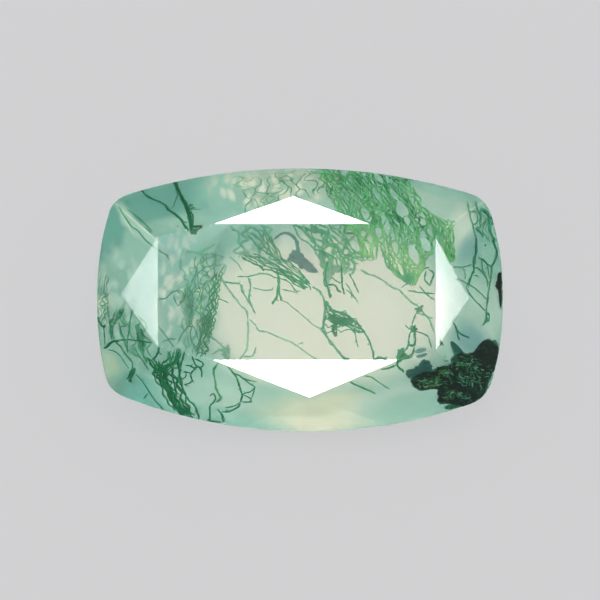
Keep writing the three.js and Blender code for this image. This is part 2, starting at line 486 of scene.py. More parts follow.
    def lump(self, outline, middle, depth, thickness, crumple=0.0, tone=0.2, cool=0.0, frill=0.0, grain=0.35,
             mottle=0.12, spokes=64, rings=20):
        """A closed cushion of moss whose outline is seen as given, round a middle from which all of it shows.

        On a grid of angle and latitude, the way from the middle to the outline is taken times the square
        root of the sine of the latitude, and the depth runs from the top to the top plus the thickness as
        the cosine of the latitude falls. The outline is smoothed through its corners, then roughened with
        smooth noise by the frill. In the same way the crumple sinks top and bottom together, and the mottle
        varies the tone. The grain is the noise's size in millimetres.
        """
        rng = self.rng
        middle = np.asarray(middle, float)
        closed = smooth_curve(np.concatenate([outline, outline[:1]]), 0.05)
        reach = run_length(closed)
        edge = spaced(closed, reach, np.linspace(0, reach[-1], self.EDGE_POINTS, endpoint=False)) - middle
        bearing = np.arctan2(edge[:, 1], edge[:, 0])
        order = np.argsort(bearing)
        angle = np.linspace(-math.pi, math.pi, spokes, endpoint=False)
        distance = np.interp(angle, bearing[order], np.linalg.norm(edge, axis=1)[order], period=2 * math.pi)
        latitude = np.linspace(0, math.pi, rings + 2)[1:-1]
        share = np.sqrt(np.sin(latitude))
        heading = np.stack([np.cos(angle), np.sin(angle)], -1)
        seen = middle + share[:, None, None] * distance[None, :, None] * heading[None]
        bumps = share[:, None] * frill * ripple_field(rng, seen, grain * 4, grain / 2)
        seen = seen + heading[None] * bumps[..., None]
        level = np.broadcast_to(((1 - np.cos(latitude)) / 2)[:, None], seen.shape[:2])
        rough = crumple * np.abs(ripple_field(rng, seen, grain * 2, grain / 3))
        depths = depth + thickness * level + rough
        seen = np.concatenate([seen.reshape(-1, 2), [middle, middle]])
        depths = np.append(depths.ravel(), [depths[0].mean(), depths[-1].mean()])
        clearance = np.full(len(seen), self.CLEARANCE)
        points = SHAPE.under_surface(seen, depths, clearance, self.index, in_line=False)
        tones = np.clip(tone + mottle * ripple_field(rng, seen, 0.6, 0.12), 0, 1)
        self.add(points, closed_rings(rings, spokes), tones, cool)

    def strokes(self, patches, depth):
        """Short curved strokes scattered over patches: arcs whose ends lie half their length from the middle.

        A patch is a place, half width, half length and turn, then how many strokes, their highest tone and
        which share of them is cool. Places are normally distributed in the ellipse, and headings about its
        turn.
        """
        rng = self.rng
        for u, v, half_width, half_length, turn, count, tone, cool in patches:
            spread = rng.normal(0, 0.5, (count, 2)).clip(-1, 1) * (half_length, half_width)
            angle = math.radians(turn)
            middles = spread @ turned(angle) + (u, v)
            headings = angle + rng.normal(0, 0.6, count)
            lengths = rng.uniform(*self.STROKE_LENGTH, count)
            for middle, heading, length in zip(middles, headings, lengths):
                ahead = np.array([math.cos(heading), math.sin(heading)])
                aside = np.array([-ahead[1], ahead[0]]) * rng.uniform(-0.25, 0.25)
                shares = np.array([-0.5, -0.15, 0.2, 0.5])[:, None]
                route = middle + length * (ahead * shares + aside * (1 - 4 * shares * shares))
                shade = min(tone * (0.25 + 0.85 * rng.random() ** 1.5), 1)
                width = rng.uniform(*self.STROKE_WIDTH)
                self.thread(route, depth, width, shade, float(rng.random() < cool), 0.0, 0.5, step=0.04)

    def piece(self, name, material):
        """The gathered shapes as one smooth-shaded object of that name."""
        mesh = bpy.data.meshes.new(name)
        mesh.from_pydata(np.concatenate(self.vertices).tolist(), [], self.faces)
        mesh.polygons.foreach_set("use_smooth", np.ones(len(mesh.polygons), bool))
        for key, values in (("tone", self.tones), ("cool", self.cools)):
            attribute = mesh.attributes.new(key, "FLOAT", "POINT")
            attribute.data.foreach_set("value", np.concatenate(values).astype(np.float32))
        mesh.validate()
        mesh.update()
        mesh.materials.append(material)
        piece = bpy.data.objects.new(name, mesh)
        bpy.context.scene.collection.objects.link(piece)
        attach(piece, "root")
        return piece


# Materials


def new_group(name, inputs, output):
    """An empty node group with named sockets, its input and output nodes in place."""
    group = bpy.data.node_groups.new(name, "ShaderNodeTree")
    for label, kind, default in inputs:
        socket = group.interface.new_socket(name=label, in_out="INPUT", socket_type=kind)
        socket.default_value = default
    group.interface.new_socket(name=output[0], in_out="OUTPUT", socket_type=output[1])
    return group, group.nodes.new("NodeGroupInput"), group.nodes.new("NodeGroupOutput")


def node(tree, kind, inputs=None, **settings):
    """A new node with its settings, and its inputs linked to a socket or set to a value."""
    made = tree.nodes.new(kind)
    for key, value in settings.items():
        setattr(made, key, value)
    for key, value in (inputs or {}).items():
        if isinstance(value, bpy.types.NodeSocket):
            tree.links.new(value, made.inputs[key])
        else:
            made.inputs[key].default_value = value
    return made


def mixed(tree, factor, first, second):
    """The colour between two, as a socket."""
    made = node(tree, "ShaderNodeMix", data_type="RGBA")
    for index, value in ((0, factor), (6, first), (7, second)):
        if isinstance(value, bpy.types.NodeSocket):
            tree.links.new(value, made.inputs[index])
        else:
            made.inputs[index].default_value = value
    return made.outputs[2]


def opaque(colour):
    """A colour with its alpha."""
    return (*colour, 1.0)


def zone_group():
    """One soft-edged oval of tint, laid over the colour that comes in.

    The place is moved to the oval's middle, turned back and divided by its half sizes. The tint is full
    inside and fades out as the length of that runs from 1 less the softness to 1 plus it. A pattern, from
    0 to 1, says where in the oval the tint lies.
    """
    inputs = [("Colour", "NodeSocketColor", (1, 1, 1, 1)), ("Tint", "NodeSocketColor", (1, 1, 1, 1)),
              ("Place", "NodeSocketVector", (0, 0, 0)), ("Middle", "NodeSocketVector", (0, 0, 0)),
              ("Turn", "NodeSocketVector", (0, 0, 0)), ("Half size", "NodeSocketVector", (1, 1, 1)),
              ("Softness", "NodeSocketFloat", 0.3), ("Strength", "NodeSocketFloat", 1.0),
              ("Pattern", "NodeSocketFloat", 1.0)]
    group, given, result = new_group("tint_zone", inputs, ("Colour", "NodeSocketColor"))
    place = node(group, "ShaderNodeMapping", {
        "Vector": given.outputs["Place"], "Location": given.outputs["Middle"],
        "Rotation": given.outputs["Turn"], "Scale": given.outputs["Half size"]}, vector_type="TEXTURE")
    flat = node(group, "ShaderNodeVectorMath", {0: place.outputs[0], 1: (1, 1, 0)}, operation="MULTIPLY")
    far = node(group, "ShaderNodeVectorMath", {0: flat.outputs[0]}, operation="LENGTH")
    inner = node(group, "ShaderNodeMath", {0: 1.0, 1: given.outputs["Softness"]}, operation="SUBTRACT")
    outer = node(group, "ShaderNodeMath", {0: 1.0, 1: given.outputs["Softness"]}, operation="ADD")
    mask = node(group, "ShaderNodeMapRange", {
        "Value": far.outputs["Value"], "From Min": inner.outputs[0], "From Max": outer.outputs[0],
        "To Min": given.outputs["Strength"], "To Max": 0.0}, interpolation_type="SMOOTHSTEP")
    share = node(group, "ShaderNodeMath", {0: mask.outputs[0], 1: given.outputs["Pattern"]},
                 operation="MULTIPLY")
    colour = mixed(group, share.outputs[0], given.outputs["Colour"], given.outputs["Tint"])
    group.links.new(colour, result.inputs[0])
    return group


# Where the stone's tint changes: palette name, middle, half sizes, turn in degrees, softness and strength, in
# millimetres seen square on to the table. Later zones lie over earlier ones.
TINT_ZONES = [
    ("pale", (0.0, 0.0), (7.4, 3.6), 0, 0.5, 0.8),
    ("cream", (0.95, -0.4), (5.1, 3.0), 0, 0.2, 1.0),
    ("sea", (-5.0, 0.2), (1.25, 3.4), 4, 0.35, 0.75),
    ("cream", (-5.5, -0.4), (0.4, 0.8), 0, 0.6, 0.7),
    ("cream", (-5.2, 0.9), (0.4, 0.6), 0, 0.6, 0.5),
    ("blue", (-5.2, 2.05), (0.8, 0.55), 0, 0.6, 0.7),
    ("teal", (-3.3, 1.75), (0.22, 0.9), -12, 0.6, 0.7),
    ("sea", (-1.4, 1.75), (0.9, 0.35), -33, 0.6, 0.4),
    ("teal", (-3.8, 2.4), (1.2, 0.6), 10, 0.6, 0.4),
    ("teal", (-6.0, 4.0), (2.1, 0.9), 12, 0.4, 0.9),
    ("pale", (-5.6, 3.0), (1.3, 0.3), 10, 0.5, 0.45),
    ("teal", (-8.0, 2.7), (0.8, 1.5), -14, 0.3, 1.0),
    # Painted highlight: a pale band along the north-west crown edge, where that edge catches the light.
    ("pale", (-6.9, 3.15), (1.3, 0.3), -46, 0.4, 1.0),
    ("pale", (-7.7, -0.2), (0.9, 1.7), 0, 0.5, 0.7),
    ("pale", (-7.4, 1.6), (0.5, 0.5), 20, 0.6, 0.6),
    ("leaf", (-7.95, -2.9), (0.55, 0.9), 15, 0.3, 0.75),
    ("sea", (-5.3, -2.6), (1.6, 0.8), -10, 0.5, 0.35),
    ("teal", (-6.7, -3.9), (1.4, 0.7), -20, 0.4, 0.9),
    ("pale", (-3.6, -4.1), (2.0, 0.8), -8, 0.5, 0.7),
    ("sea", (-2.6, -4.9), (2.0, 0.35), -5, 0.5, 0.8),
    ("straw", (1.0, -4.7), (2.3, 0.9), 0, 0.5, 1.0),
    ("pale", (4.2, -4.2), (2.0, 0.8), 12, 0.5, 0.9),
    ("sea", (4.6, -4.4), (1.8, 0.55), 14, 0.5, 0.75),
    ("sea", (7.8, 2.0), (0.7, 2.2), 8, 0.4, 1.0),
    ("pale", (7.7, -0.6), (0.8, 1.3), 0, 0.5, 0.8),
    ("pale", (5.9, 3.9), (1.6, 1.0), -20, 0.5, 0.9),
    ("cream", (6.6, 3.0), (0.5, 1.1), -25, 0.5, 0.45),
    ("blue", (7.05, 2.1), (0.45, 0.7), -20, 0.6, 0.8),
    ("blue", (7.05, -1.6), (0.6, 0.7), 10, 0.6, 1.0),
    ("sea", (6.0, 4.7), (2.0, 0.35), -14, 0.5, 0.7),
    ("straw", (-1.2, 4.7), (2.2, 0.7), 0, 0.5, 0.8),
    ("teal", (-4.0, 4.3), (1.2, 0.9), 10, 0.5, 0.6),
]

# Zones where only the walls of a net of cells are tinted, and zones where only the cells are.
WALL_ZONES = [
    ("sea", (-4.8, 0.2), (1.2, 2.6), 0, 0.4, 0.9),
    ("teal", (-7.6, -0.2), (0.9, 1.9), 0, 0.5, 0.6),
    ("sea", (-2.2, 2.6), (1.2, 0.8), 0, 0.5, 0.9),
    ("pale", (1.2, 2.5), (1.6, 0.8), 0, 0.5, 0.6),
    ("sea", (-3.2, 4.3), (1.1, 0.9), 10, 0.5, 0.8),
    ("sea", (-1.0, 4.6), (1.8, 0.8), 0, 0.5, 0.6),
]
CELL_ZONES = [
    ("cream", (-4.9, 0.6), (1.0, 2.0), 0, 0.5, 0.6),
    ("pale", (-7.4, 0.8), (0.9, 1.4), 0, 0.5, 0.9),
    ("cream", (-8.2, 0.0), (0.35, 0.9), 0, 0.4, 0.8),
    ("cream", (-1.3, 4.6), (2.4, 0.8), 0, 0.5, 0.7),
]

# Painted highlights: pale lines where the light catches a crown edge. Their places aren't bent by the cloudy
# noise.
EDGE_HIGHLIGHT_ZONES = [
    ("cream", (-6.75, 3.19), (1.15, 0.045), -41, 0.6, 0.7),
    ("cream", (-7.27, 3.33), (0.72, 0.035), -60, 0.6, 0.5),
    ("cream", (7.11, 3.75), (0.73, 0.035), 32, 0.6, 0.45),
]


def stone_material(settings):
    """The milky agate: see-through and hazy under its polish, tinted in soft zones and cells, with painted
    highlight lines on crown edges.
    """
    material = bpy.data.materials.new("agate_stone")
    material.use_nodes = True
    tree = material.node_tree
    shader = tree.nodes["Principled BSDF"]
    shader.inputs["Transmission Weight"].default_value = 1.0
    shader.inputs["IOR"].default_value = settings.refractive_index
    shader.inputs["Roughness"].default_value = settings.softness
    shader.inputs["Coat Weight"].default_value = 1.0
    shader.inputs["Coat IOR"].default_value = settings.refractive_index
    shader.inputs["Coat Roughness"].default_value = 0.05
    place = node(tree, "ShaderNodeTexCoord")
    turn = -math.atan2(-SHAPE.out[1], SHAPE.out[2])
    table = node(tree, "ShaderNodeMapping", {
        "Vector": place.outputs["Object"], "Scale": (1 / MM,) * 3, "Rotation": (turn, 0, 0),
        "Location": tuple(-SHAPE.middle / MM)})
    cloud = node(tree, "ShaderNodeTexNoise", {"Vector": table.outputs[0], "Scale": 0.45, "Detail": 2.0})
    shift = node(tree, "ShaderNodeVectorMath", {0: cloud.outputs["Color"], 1: (0.5, 0.5, 0.5)},
                 operation="SUBTRACT")
    bent = node(tree, "ShaderNodeVectorMath", {0: shift.outputs[0], 1: (0.9, 0.9, 0.9), 2: table.outputs[0]},
                operation="MULTIPLY_ADD")
    colour = opaque(settings.sea)
    zone = zone_group()
    stretched = node(tree, "ShaderNodeMapping", {"Vector": bent.outputs[0], "Scale": (2.3, 1.5, 1.0)})
    spots = node(tree, "ShaderNodeTexVoronoi",
                 {"Vector": stretched.outputs[0], "Scale": 1.0, "Smoothness": 0.5},
                 voronoi_dimensions="2D", feature="SMOOTH_F1")
    patchy = node(tree, "ShaderNodeTexNoise", {"Vector": stretched.outputs[0], "Scale": 1.1, "Detail": 3.0})
    loose = node(tree, "ShaderNodeMath", {0: spots.outputs["Distance"], 1: patchy.outputs[0]},
                 operation="ADD")
    walls = node(tree, "ShaderNodeMapRange", {"Value": loose.outputs[0], "From Min": 0.55, "From Max": 1.05},
                 interpolation_type="SMOOTHSTEP")
    cells = node(tree, "ShaderNodeMath", {0: 1.0, 1: walls.outputs[0]}, operation="SUBTRACT")
    zones = [(bent, None, zone_values) for zone_values in TINT_ZONES]
    zones += [(bent, walls, zone_values) for zone_values in WALL_ZONES]
    zones += [(bent, cells, zone_values) for zone_values in CELL_ZONES]
    zones += [(table, None, zone_values) for zone_values in EDGE_HIGHLIGHT_ZONES]
    for spot, pattern, (name, middle, half, degrees, softness, strength) in zones:
        step = node(tree, "ShaderNodeGroup", node_tree=zone)
        values = {"Tint": opaque(getattr(settings, name)), "Middle": (*middle, 0.0),
                  "Half size": (*half, 1.0), "Turn": (0.0, 0.0, math.radians(degrees)),
                  "Softness": softness, "Strength": strength}
        for key, value in values.items():
            step.inputs[key].default_value = value
        if pattern is not None:
            tree.links.new(pattern.outputs[0], step.inputs["Pattern"])
        tree.links.new(spot.outputs[0], step.inputs["Place"])
        if isinstance(colour, bpy.types.NodeSocket):
            tree.links.new(colour, step.inputs["Colour"])
        else:
            step.inputs["Colour"].default_value = colour
        colour = step.outputs["Colour"]
    tree.links.new(colour, shader.inputs["Base Color"])
    haze = node(tree, "ShaderNodeVolumeScatter", {
        "Color": opaque(settings.haze_colour), "Density": settings.haze, "Anisotropy": 0.2})
    tree.links.new(haze.outputs[0], tree.nodes["Material Output"].inputs["Volume"])
    return material


def moss_group():
    """The moss's colour: from dark to bright with its tone, a little mottled, and cool with its coolness."""
    black = (0, 0, 0, 1)
    inputs = [("Place", "NodeSocketVector", (0, 0, 0)), ("Tone", "NodeSocketFloat", 0.5),
              ("Coolness", "NodeSocketFloat", 0.0), ("Dark", "NodeSocketColor", black),
              ("Middle", "NodeSocketColor", black), ("Bright", "NodeSocketColor", black),
              ("Cool", "NodeSocketColor", black)]
    group, given, result = new_group("moss_colour", inputs, ("Colour", "NodeSocketColor"))
    mottle = node(group, "ShaderNodeTexNoise",
                  {"Vector": given.outputs["Place"], "Scale": 4200.0, "Detail": 3.0})
    spread = node(group, "ShaderNodeMapRange", {"Value": mottle.outputs[0], "From Min": 0.3, "From Max": 0.7,
                                                "To Min": -0.16, "To Max": 0.16})
    tone = node(group, "ShaderNodeMath", {0: given.outputs["Tone"], 1: spread.outputs[0]}, operation="ADD")
    low = node(group, "ShaderNodeMapRange", {"Value": tone.outputs[0], "From Max": 0.5})
    high = node(group, "ShaderNodeMapRange", {"Value": tone.outputs[0], "From Min": 0.5})
    dim = mixed(group, low.outputs[0], given.outputs["Dark"], given.outputs["Middle"])
    warm = mixed(group, high.outputs[0], dim, given.outputs["Bright"])
    group.links.new(mixed(group, given.outputs["Coolness"], warm, given.outputs["Cool"]), result.inputs[0])
    return group


def moss_material(name, settings, colours=("dark", "middle", "bright", "cool")):
    """Matt moss: its colour runs through three of the named settings with tone, to the last with coolness."""
    material = bpy.data.materials.new(name)
    material.use_nodes = True
    tree = material.node_tree
    shader = tree.nodes["Principled BSDF"]
    shader.inputs["Roughness"].default_value = 0.75
    shader.inputs["Specular IOR Level"].default_value = 0.1
    place = node(tree, "ShaderNodeTexCoord").outputs["Object"]
    tone = node(tree, "ShaderNodeAttribute", attribute_name="tone").outputs["Fac"]
    cool = node(tree, "ShaderNodeAttribute", attribute_name="cool").outputs["Fac"]
    group = bpy.data.node_groups.get("moss_colour") or moss_group()
    moss = node(tree, "ShaderNodeGroup", node_tree=group)
    for key, value in (("Place", place), ("Tone", tone), ("Coolness", cool)):
        tree.links.new(value, moss.inputs[key])
    for key, setting in zip(("Dark", "Middle", "Bright", "Cool"), colours):
        moss.inputs[key].default_value = opaque(getattr(settings, setting))
    tree.links.new(moss.outputs[0], shader.inputs["Base Color"])
    return material


# Where the moss grows
#
# All places are as seen square on to the table, in millimetres from the middle of the stone. A branch is its
# depth, width, tone and coolness, then its route. A depth or width that changes is given for both ends.

UPPER_LEFT_BRANCHES = [
    (0.15, (0.16, 0.22), 0.12, 0.0, [(-5.3, 5.1), (-5.15, 4.7), (-5.0, 4.4), (-4.8, 4.0), (-4.7, 3.8),
     (-4.55, 3.5)]),
    (0.15, (0.22, 0.3), 0.1, 0.0, [(-4.6, 3.6), (-4.5, 3.2), (-4.45, 2.95), (-4.35, 2.75)]),
    (0.12, 0.1, 0.1, 0.0, [(-4.7, 3.85), (-4.58, 3.92), (-4.45, 3.95)]),
    (0.12, 0.04, 0.3, 0.0, [(-4.55, 3.8), (-4.3, 3.74), (-4.08, 3.75)]),
    (0.12, 0.08, 0.1, 0.0, [(-4.75, 3.9), (-4.6, 3.75), (-4.45, 3.85), (-4.35, 3.78)]),
    (0.12, 0.06, 0.15, 0.0, [(-4.65, 3.7), (-4.5, 3.6), (-4.42, 3.45), (-4.5, 3.3)]),
    (0.12, 0.05, 0.2, 0.0, [(-5.0, 4.5), (-4.85, 4.3), (-4.9, 4.1), (-4.75, 3.9)]),
    (0.25, 0.05, 0.3, 0.1, [(-5.1, 4.45), (-5.2, 4.1), (-5.28, 3.84), (-5.42, 3.8)]),
    (0.2, (0.06, 0.12), 0.3, 0.1, [(-6.75, 4.6), (-6.3, 4.3), (-5.7, 4.0), (-5.4, 3.7), (-5.0, 3.4),
     (-4.8, 3.1), (-4.6, 2.9)]),
    (0.2, 0.06, 0.25, 0.1, [(-5.35, 3.68), (-5.05, 3.45), (-4.9, 3.3), (-4.65, 3.2)]),
    (0.2, 0.06, 0.4, 0.1, [(-7.55, 3.9), (-7.3, 3.5), (-7.05, 3.1), (-6.7, 2.85), (-6.4, 2.5), (-6.1, 2.25),
     (-5.6, 1.9), (-5.4, 1.65)]),
    (0.3, 0.06, 0.5, 0.2, [(-7.2, 3.8), (-6.7, 3.4), (-6.3, 3.0), (-6.1, 2.8)]),
]

LEFT_BRANCHES = [
    (0.25, 0.05, 0.35, 0.0, [(-5.87, 0.03), (-5.5, 0.1), (-5.3, 0.3), (-5.0, 0.38), (-4.8, 0.25),
     (-4.75, 0.0), (-4.9, -0.1), (-5.05, -0.25)]),
    (0.25, 0.05, 0.3, 0.0, [(-5.2, 0.2), (-5.15, 0.0), (-5.05, -0.25)]),
    (0.3, 0.05, 0.3, 0.0, [(-4.75, 0.5), (-4.72, 0.2), (-4.85, 0.0), (-5.0, -0.1)]),
    (0.3, 0.06, 0.45, 0.1, [(-5.85, -1.05), (-5.6, -1.4), (-5.3, -1.8), (-5.2, -1.95)]),
    (0.5, 0.06, 0.45, 0.2, [(-5.7, -1.75), (-5.4, -1.6), (-5.1, -1.6)]),
    (0.5, 0.07, 0.45, 0.2, [(-5.1, -1.8), (-4.8, -1.3), (-4.5, -1.0)]),
    (0.12, 0.05, 0.25, 0.0, [(-3.37, 0.07), (-3.15, -0.02), (-2.95, -0.13)]),
    (0.15, (0.16, 0.1), 0.05, 0.0, [(-8.45, -0.7), (-8.35, -1.0), (-8.2, -1.12), (-8.1, -1.05)]),
    (0.2, 0.07, 0.2, 0.0, [(-8.2, -1.1), (-8.15, -1.5), (-8.17, -1.9)]),
    (0.15, (0.2, 0.08), 0.08, 0.0, [(-8.2, -2.0), (-8.05, -1.95), (-7.8, -1.75), (-7.5, -1.66)]),
    (0.3, 0.06, 0.35, 0.1, [(-7.5, -1.65), (-7.1, -1.65), (-6.5, -1.7), (-6.1, -1.8)]),
    (0.2, 0.1, 0.35, 0.2, [(-8.0, 0.0), (-7.95, -0.9), (-7.8, -1.7)]),
    (0.4, (0.16, 0.06), 0.3, 0.3, [(-7.95, -1.0), (-7.7, -0.85), (-7.5, -0.7), (-7.3, -0.35)]),
    (0.3, 0.09, 0.35, 0.2, [(-7.85, -1.0), (-7.75, -1.6), (-7.5, -1.9), (-7.2, -2.3), (-7.0, -2.6),
     (-6.95, -2.9)]),
    (0.4, 0.07, 0.45, 0.3, [(-6.95, -0.4), (-7.1, -1.3), (-7.15, -1.7), (-7.2, -2.2)]),
    (0.4, 0.07, 0.45, 0.3, [(-7.55, -0.9), (-7.4, -1.4), (-7.2, -1.75)]),
    (0.3, 0.06, 0.4, 0.2, [(-8.0, -2.05), (-7.6, -2.2), (-7.3, -2.6), (-7.1, -2.85)]),
    (0.5, 0.12, 0.45, 0.3, [(-6.7, -1.0), (-6.65, -1.6), (-6.5, -2.2), (-6.35, -2.6)]),
    (0.5, 0.08, 0.5, 0.3, [(-6.9, -1.9), (-6.6, -2.4), (-6.3, -2.9)]),
]

LOWER_LEFT_BRANCHES = [
    (0.12, 0.16, 0.15, 0.2, [(-6.85, -2.82), (-6.98, -3.1), (-7.08, -3.42)]),
    (0.12, 0.12, 0.15, 0.2, [(-6.95, -2.85), (-7.1, -3.1), (-7.18, -3.3)]),
    (0.15, (0.05, 0.07), 0.2, 0.1, [(-6.85, -3.1), (-6.65, -3.25), (-6.5, -3.5), (-6.3, -3.8), (-6.1, -4.1),
     (-5.9, -4.4), (-5.7, -4.7)]),
    (0.15, 0.06, 0.2, 0.1, [(-6.65, -3.3), (-6.57, -3.33), (-6.5, -3.28)]),
    (0.15, 0.06, 0.2, 0.1, [(-6.33, -3.85), (-6.45, -3.98), (-6.53, -4.12)]),
    (0.2, 0.2, 0.15, 0.1, [(-6.0, -2.88), (-5.7, -2.85), (-5.45, -2.75), (-5.2, -2.55), (-5.02, -2.3),
     (-5.0, -2.0)]),
    (0.25, 0.06, 0.3, 0.1, [(-5.85, -3.0), (-5.6, -3.3), (-5.4, -3.4)]),
    (0.25, 0.06, 0.3, 0.1, [(-5.6, -2.95), (-5.72, -3.3), (-5.65, -3.6)]),
    (0.2, (0.14, 0.09), 0.2, 0.1, [(-5.05, -2.5), (-5.0, -2.95), (-4.95, -3.4), (-4.85, -3.8), (-4.7, -4.1),
     (-4.4, -4.4), (-4.3, -4.6), (-4.25, -5.0)]),
    (0.2, 0.06, 0.3, 0.1, [(-4.4, -4.45), (-4.3, -4.6), (-4.12, -4.72)]),
    (0.2, 0.06, 0.3, 0.1, [(-4.85, -3.5), (-4.72, -3.55), (-4.6, -3.6)]),
    (0.15, 0.09, 0.1, 0.0, [(-5.85, -1.95), (-5.85, -2.15), (-5.95, -2.35), (-6.12, -2.47)]),
    (0.15, 0.06, 0.1, 0.0, [(-5.86, -2.1), (-5.78, -2.2), (-5.7, -2.25)]),
    (0.12, 0.08, 0.1, 0.0, [(-4.45, -2.3), (-4.35, -2.6), (-4.25, -2.75), (-4.1, -2.85), (-4.05, -3.2)]),
    (0.12, 0.07, 0.12, 0.0, [(-4.75, -2.68), (-4.5, -2.75), (-4.4, -2.82), (-4.25, -2.75)]),
    (0.12, 0.07, 0.12, 0.0, [(-4.35, -2.45), (-4.15, -2.5), (-4.0, -2.6), (-4.05, -2.75), (-4.25, -2.78)]),
    (0.12, 0.06, 0.12, 0.0, [(-4.25, -2.78), (-4.4, -2.9), (-4.5, -3.05), (-4.47, -3.3), (-4.4, -3.42)]),
    (0.12, 0.06, 0.15, 0.0, [(-4.85, -3.0), (-4.65, -2.98), (-4.5, -3.05)]),
    (0.12, 0.06, 0.15, 0.0, [(-4.9, -3.3), (-4.75, -3.15), (-4.72, -3.0)]),
    (0.15, 0.06, 0.2, 0.0, [(-4.45, -3.3), (-4.6, -3.45), (-4.8, -3.5)]),
]

BOTTOM_BRANCHES = [
    (0.4, 0.1, 0.6, 0.1, [(-3.4, -2.6), (-3.58, -3.0), (-3.5, -3.4), (-3.45, -3.8), (-3.3, -4.05),
     (-3.5, -4.25)]),
    (0.2, 0.08, 0.35, 0.0, [(-3.75, -4.0), (-3.6, -3.9), (-3.5, -4.1), (-3.62, -4.27), (-3.78, -4.5),
     (-3.75, -5.05)]),
    (0.12, (0.06, 0.12), 0.1, 0.0, [(-3.45, -4.55), (-3.3, -4.7), (-3.25, -4.85), (-3.22, -5.1)]),
    (0.12, 0.08, 0.1, 0.0, [(-3.28, -4.67), (-2.9, -4.65), (-2.6, -4.45), (-2.48, -4.25)]),
    (0.2, 0.06, 0.15, 0.0, [(-3.12, -4.48), (-2.7, -4.4), (-2.5, -4.25)]),
    (0.2, 0.08, 0.2, 0.0, [(-3.0, -2.75), (-2.8, -2.95), (-2.6, -3.3), (-2.45, -3.7), (-2.4, -4.0),
     (-2.5, -4.25)]),
    (0.15, 0.06, 0.25, 0.0, [(-2.75, -3.0), (-2.4, -3.2), (-2.1, -3.45), (-1.9, -3.55), (-1.85, -3.65),
     (-2.1, -3.8), (-2.38, -3.9)]),
    (0.15, 0.06, 0.25, 0.0, [(-2.65, -3.05), (-2.2, -3.28), (-1.78, -3.4)]),
    (0.12, 0.07, 0.1, 0.0, [(-2.45, -4.22), (-2.2, -4.26), (-1.98, -4.25)]),
    (0.15, 0.06, 0.2, 0.0, [(-2.38, -3.9), (-2.1, -4.08), (-2.0, -4.25)]),
    (0.15, 0.05, 0.2, 0.0, [(-1.92, -3.7), (-1.95, -3.9), (-2.02, -4.1)]),
    (0.12, 0.14, 0.15, 0.0, [(-3.9, -5.0), (-3.6, -5.08), (-3.3, -5.12)]),
]

CENTRE_BRANCHES = [
    (0.8, 0.12, 0.45, 0.4, [(-1.6, 3.2), (-1.35, 2.7), (-1.1, 2.3), (-0.9, 1.9)]),
    (0.4, 0.08, 0.5, 0.2, [(-1.9, 1.8), (-1.5, 1.75), (-1.1, 1.5), (-0.6, 1.15)]),
    (0.6, 0.07, 0.4, 0.2, [(-2.2, 2.7), (-1.7, 2.2), (-1.2, 1.85), (-0.8, 1.5)]),
    (0.25, 0.05, 0.1, 0.0, [(-2.4, 1.8), (-2.0, 1.55), (-1.6, 1.35), (-1.48, 1.2)]),
    (0.2, 0.05, 0.1, 0.0, [(-0.4, 1.0), (0.0, 0.75), (0.35, 0.6), (0.45, 0.4)]),
    (0.2, (0.06, 0.12), 0.1, 0.1, [(-1.75, 1.45), (-1.6, 1.35), (-1.5, 1.2)]),
    (0.2, (0.14, 0.09), 0.3, 0.1, [(-0.95, 1.3), (-0.9, 0.9), (-0.88, 0.5), (-0.95, 0.2), (-1.05, 0.0),
     (-1.15, -0.17)]),
    (0.2, 0.1, 0.25, 0.1, [(-0.85, 1.0), (-0.86, 0.5), (-0.84, 0.2), (-0.78, -0.05)]),
    (0.2, 0.07, 0.15, 0.0, [(-0.9, 0.3), (-0.95, 0.1), (-0.93, -0.05)]),
    (0.4, 0.06, 0.45, 0.1, [(-2.6, 0.95), (-2.0, 1.0), (-1.6, 1.1), (-1.3, 1.05), (-1.0, 0.9), (-0.6, 0.85),
     (-0.4, 0.7), (-0.2, 0.4), (0.0, 0.35)]),
    (0.5, 0.09, 0.55, 0.2, [(-3.1, 0.72), (-2.5, 0.68), (-2.4, 0.4), (-2.2, 0.05), (-2.0, -0.25),
     (-1.85, -0.57)]),
    (0.5, 0.08, 0.5, 0.2, [(-2.15, 0.95), (-2.05, 0.5), (-2.1, 0.1), (-2.0, -0.22)]),
    (0.5, 0.06, 0.6, 0.1, [(-1.95, 0.5), (-1.5, 0.42), (-1.1, 0.4)]),
    (0.5, 0.05, 0.6, 0.1, [(-0.75, 0.45), (-0.4, 0.35), (-0.1, 0.28)]),
    (0.6, 0.1, 0.5, 0.3, [(-0.2, 3.15), (0.1, 2.9), (0.4, 2.6), (0.8, 2.1), (1.0, 1.6), (1.1, 1.2)]),
    (0.6, 0.08, 0.5, 0.3, [(0.1, 3.15), (0.5, 2.5), (0.9, 2.1), (1.05, 1.7)]),
    (0.7, 0.08, 0.5, 0.3, [(-0.3, 3.1), (0.0, 2.6), (0.35, 2.35), (0.7, 1.9), (0.95, 1.5)]),
    (0.7, 0.1, 0.5, 0.4, [(0.5, 3.1), (1.0, 2.8), (1.3, 2.5), (1.4, 2.1), (1.3, 1.6)]),
    (0.5, 0.05, 0.6, 0.2, [(-2.9, 1.8), (-2.6, 1.55), (-2.4, 1.2)]),
]

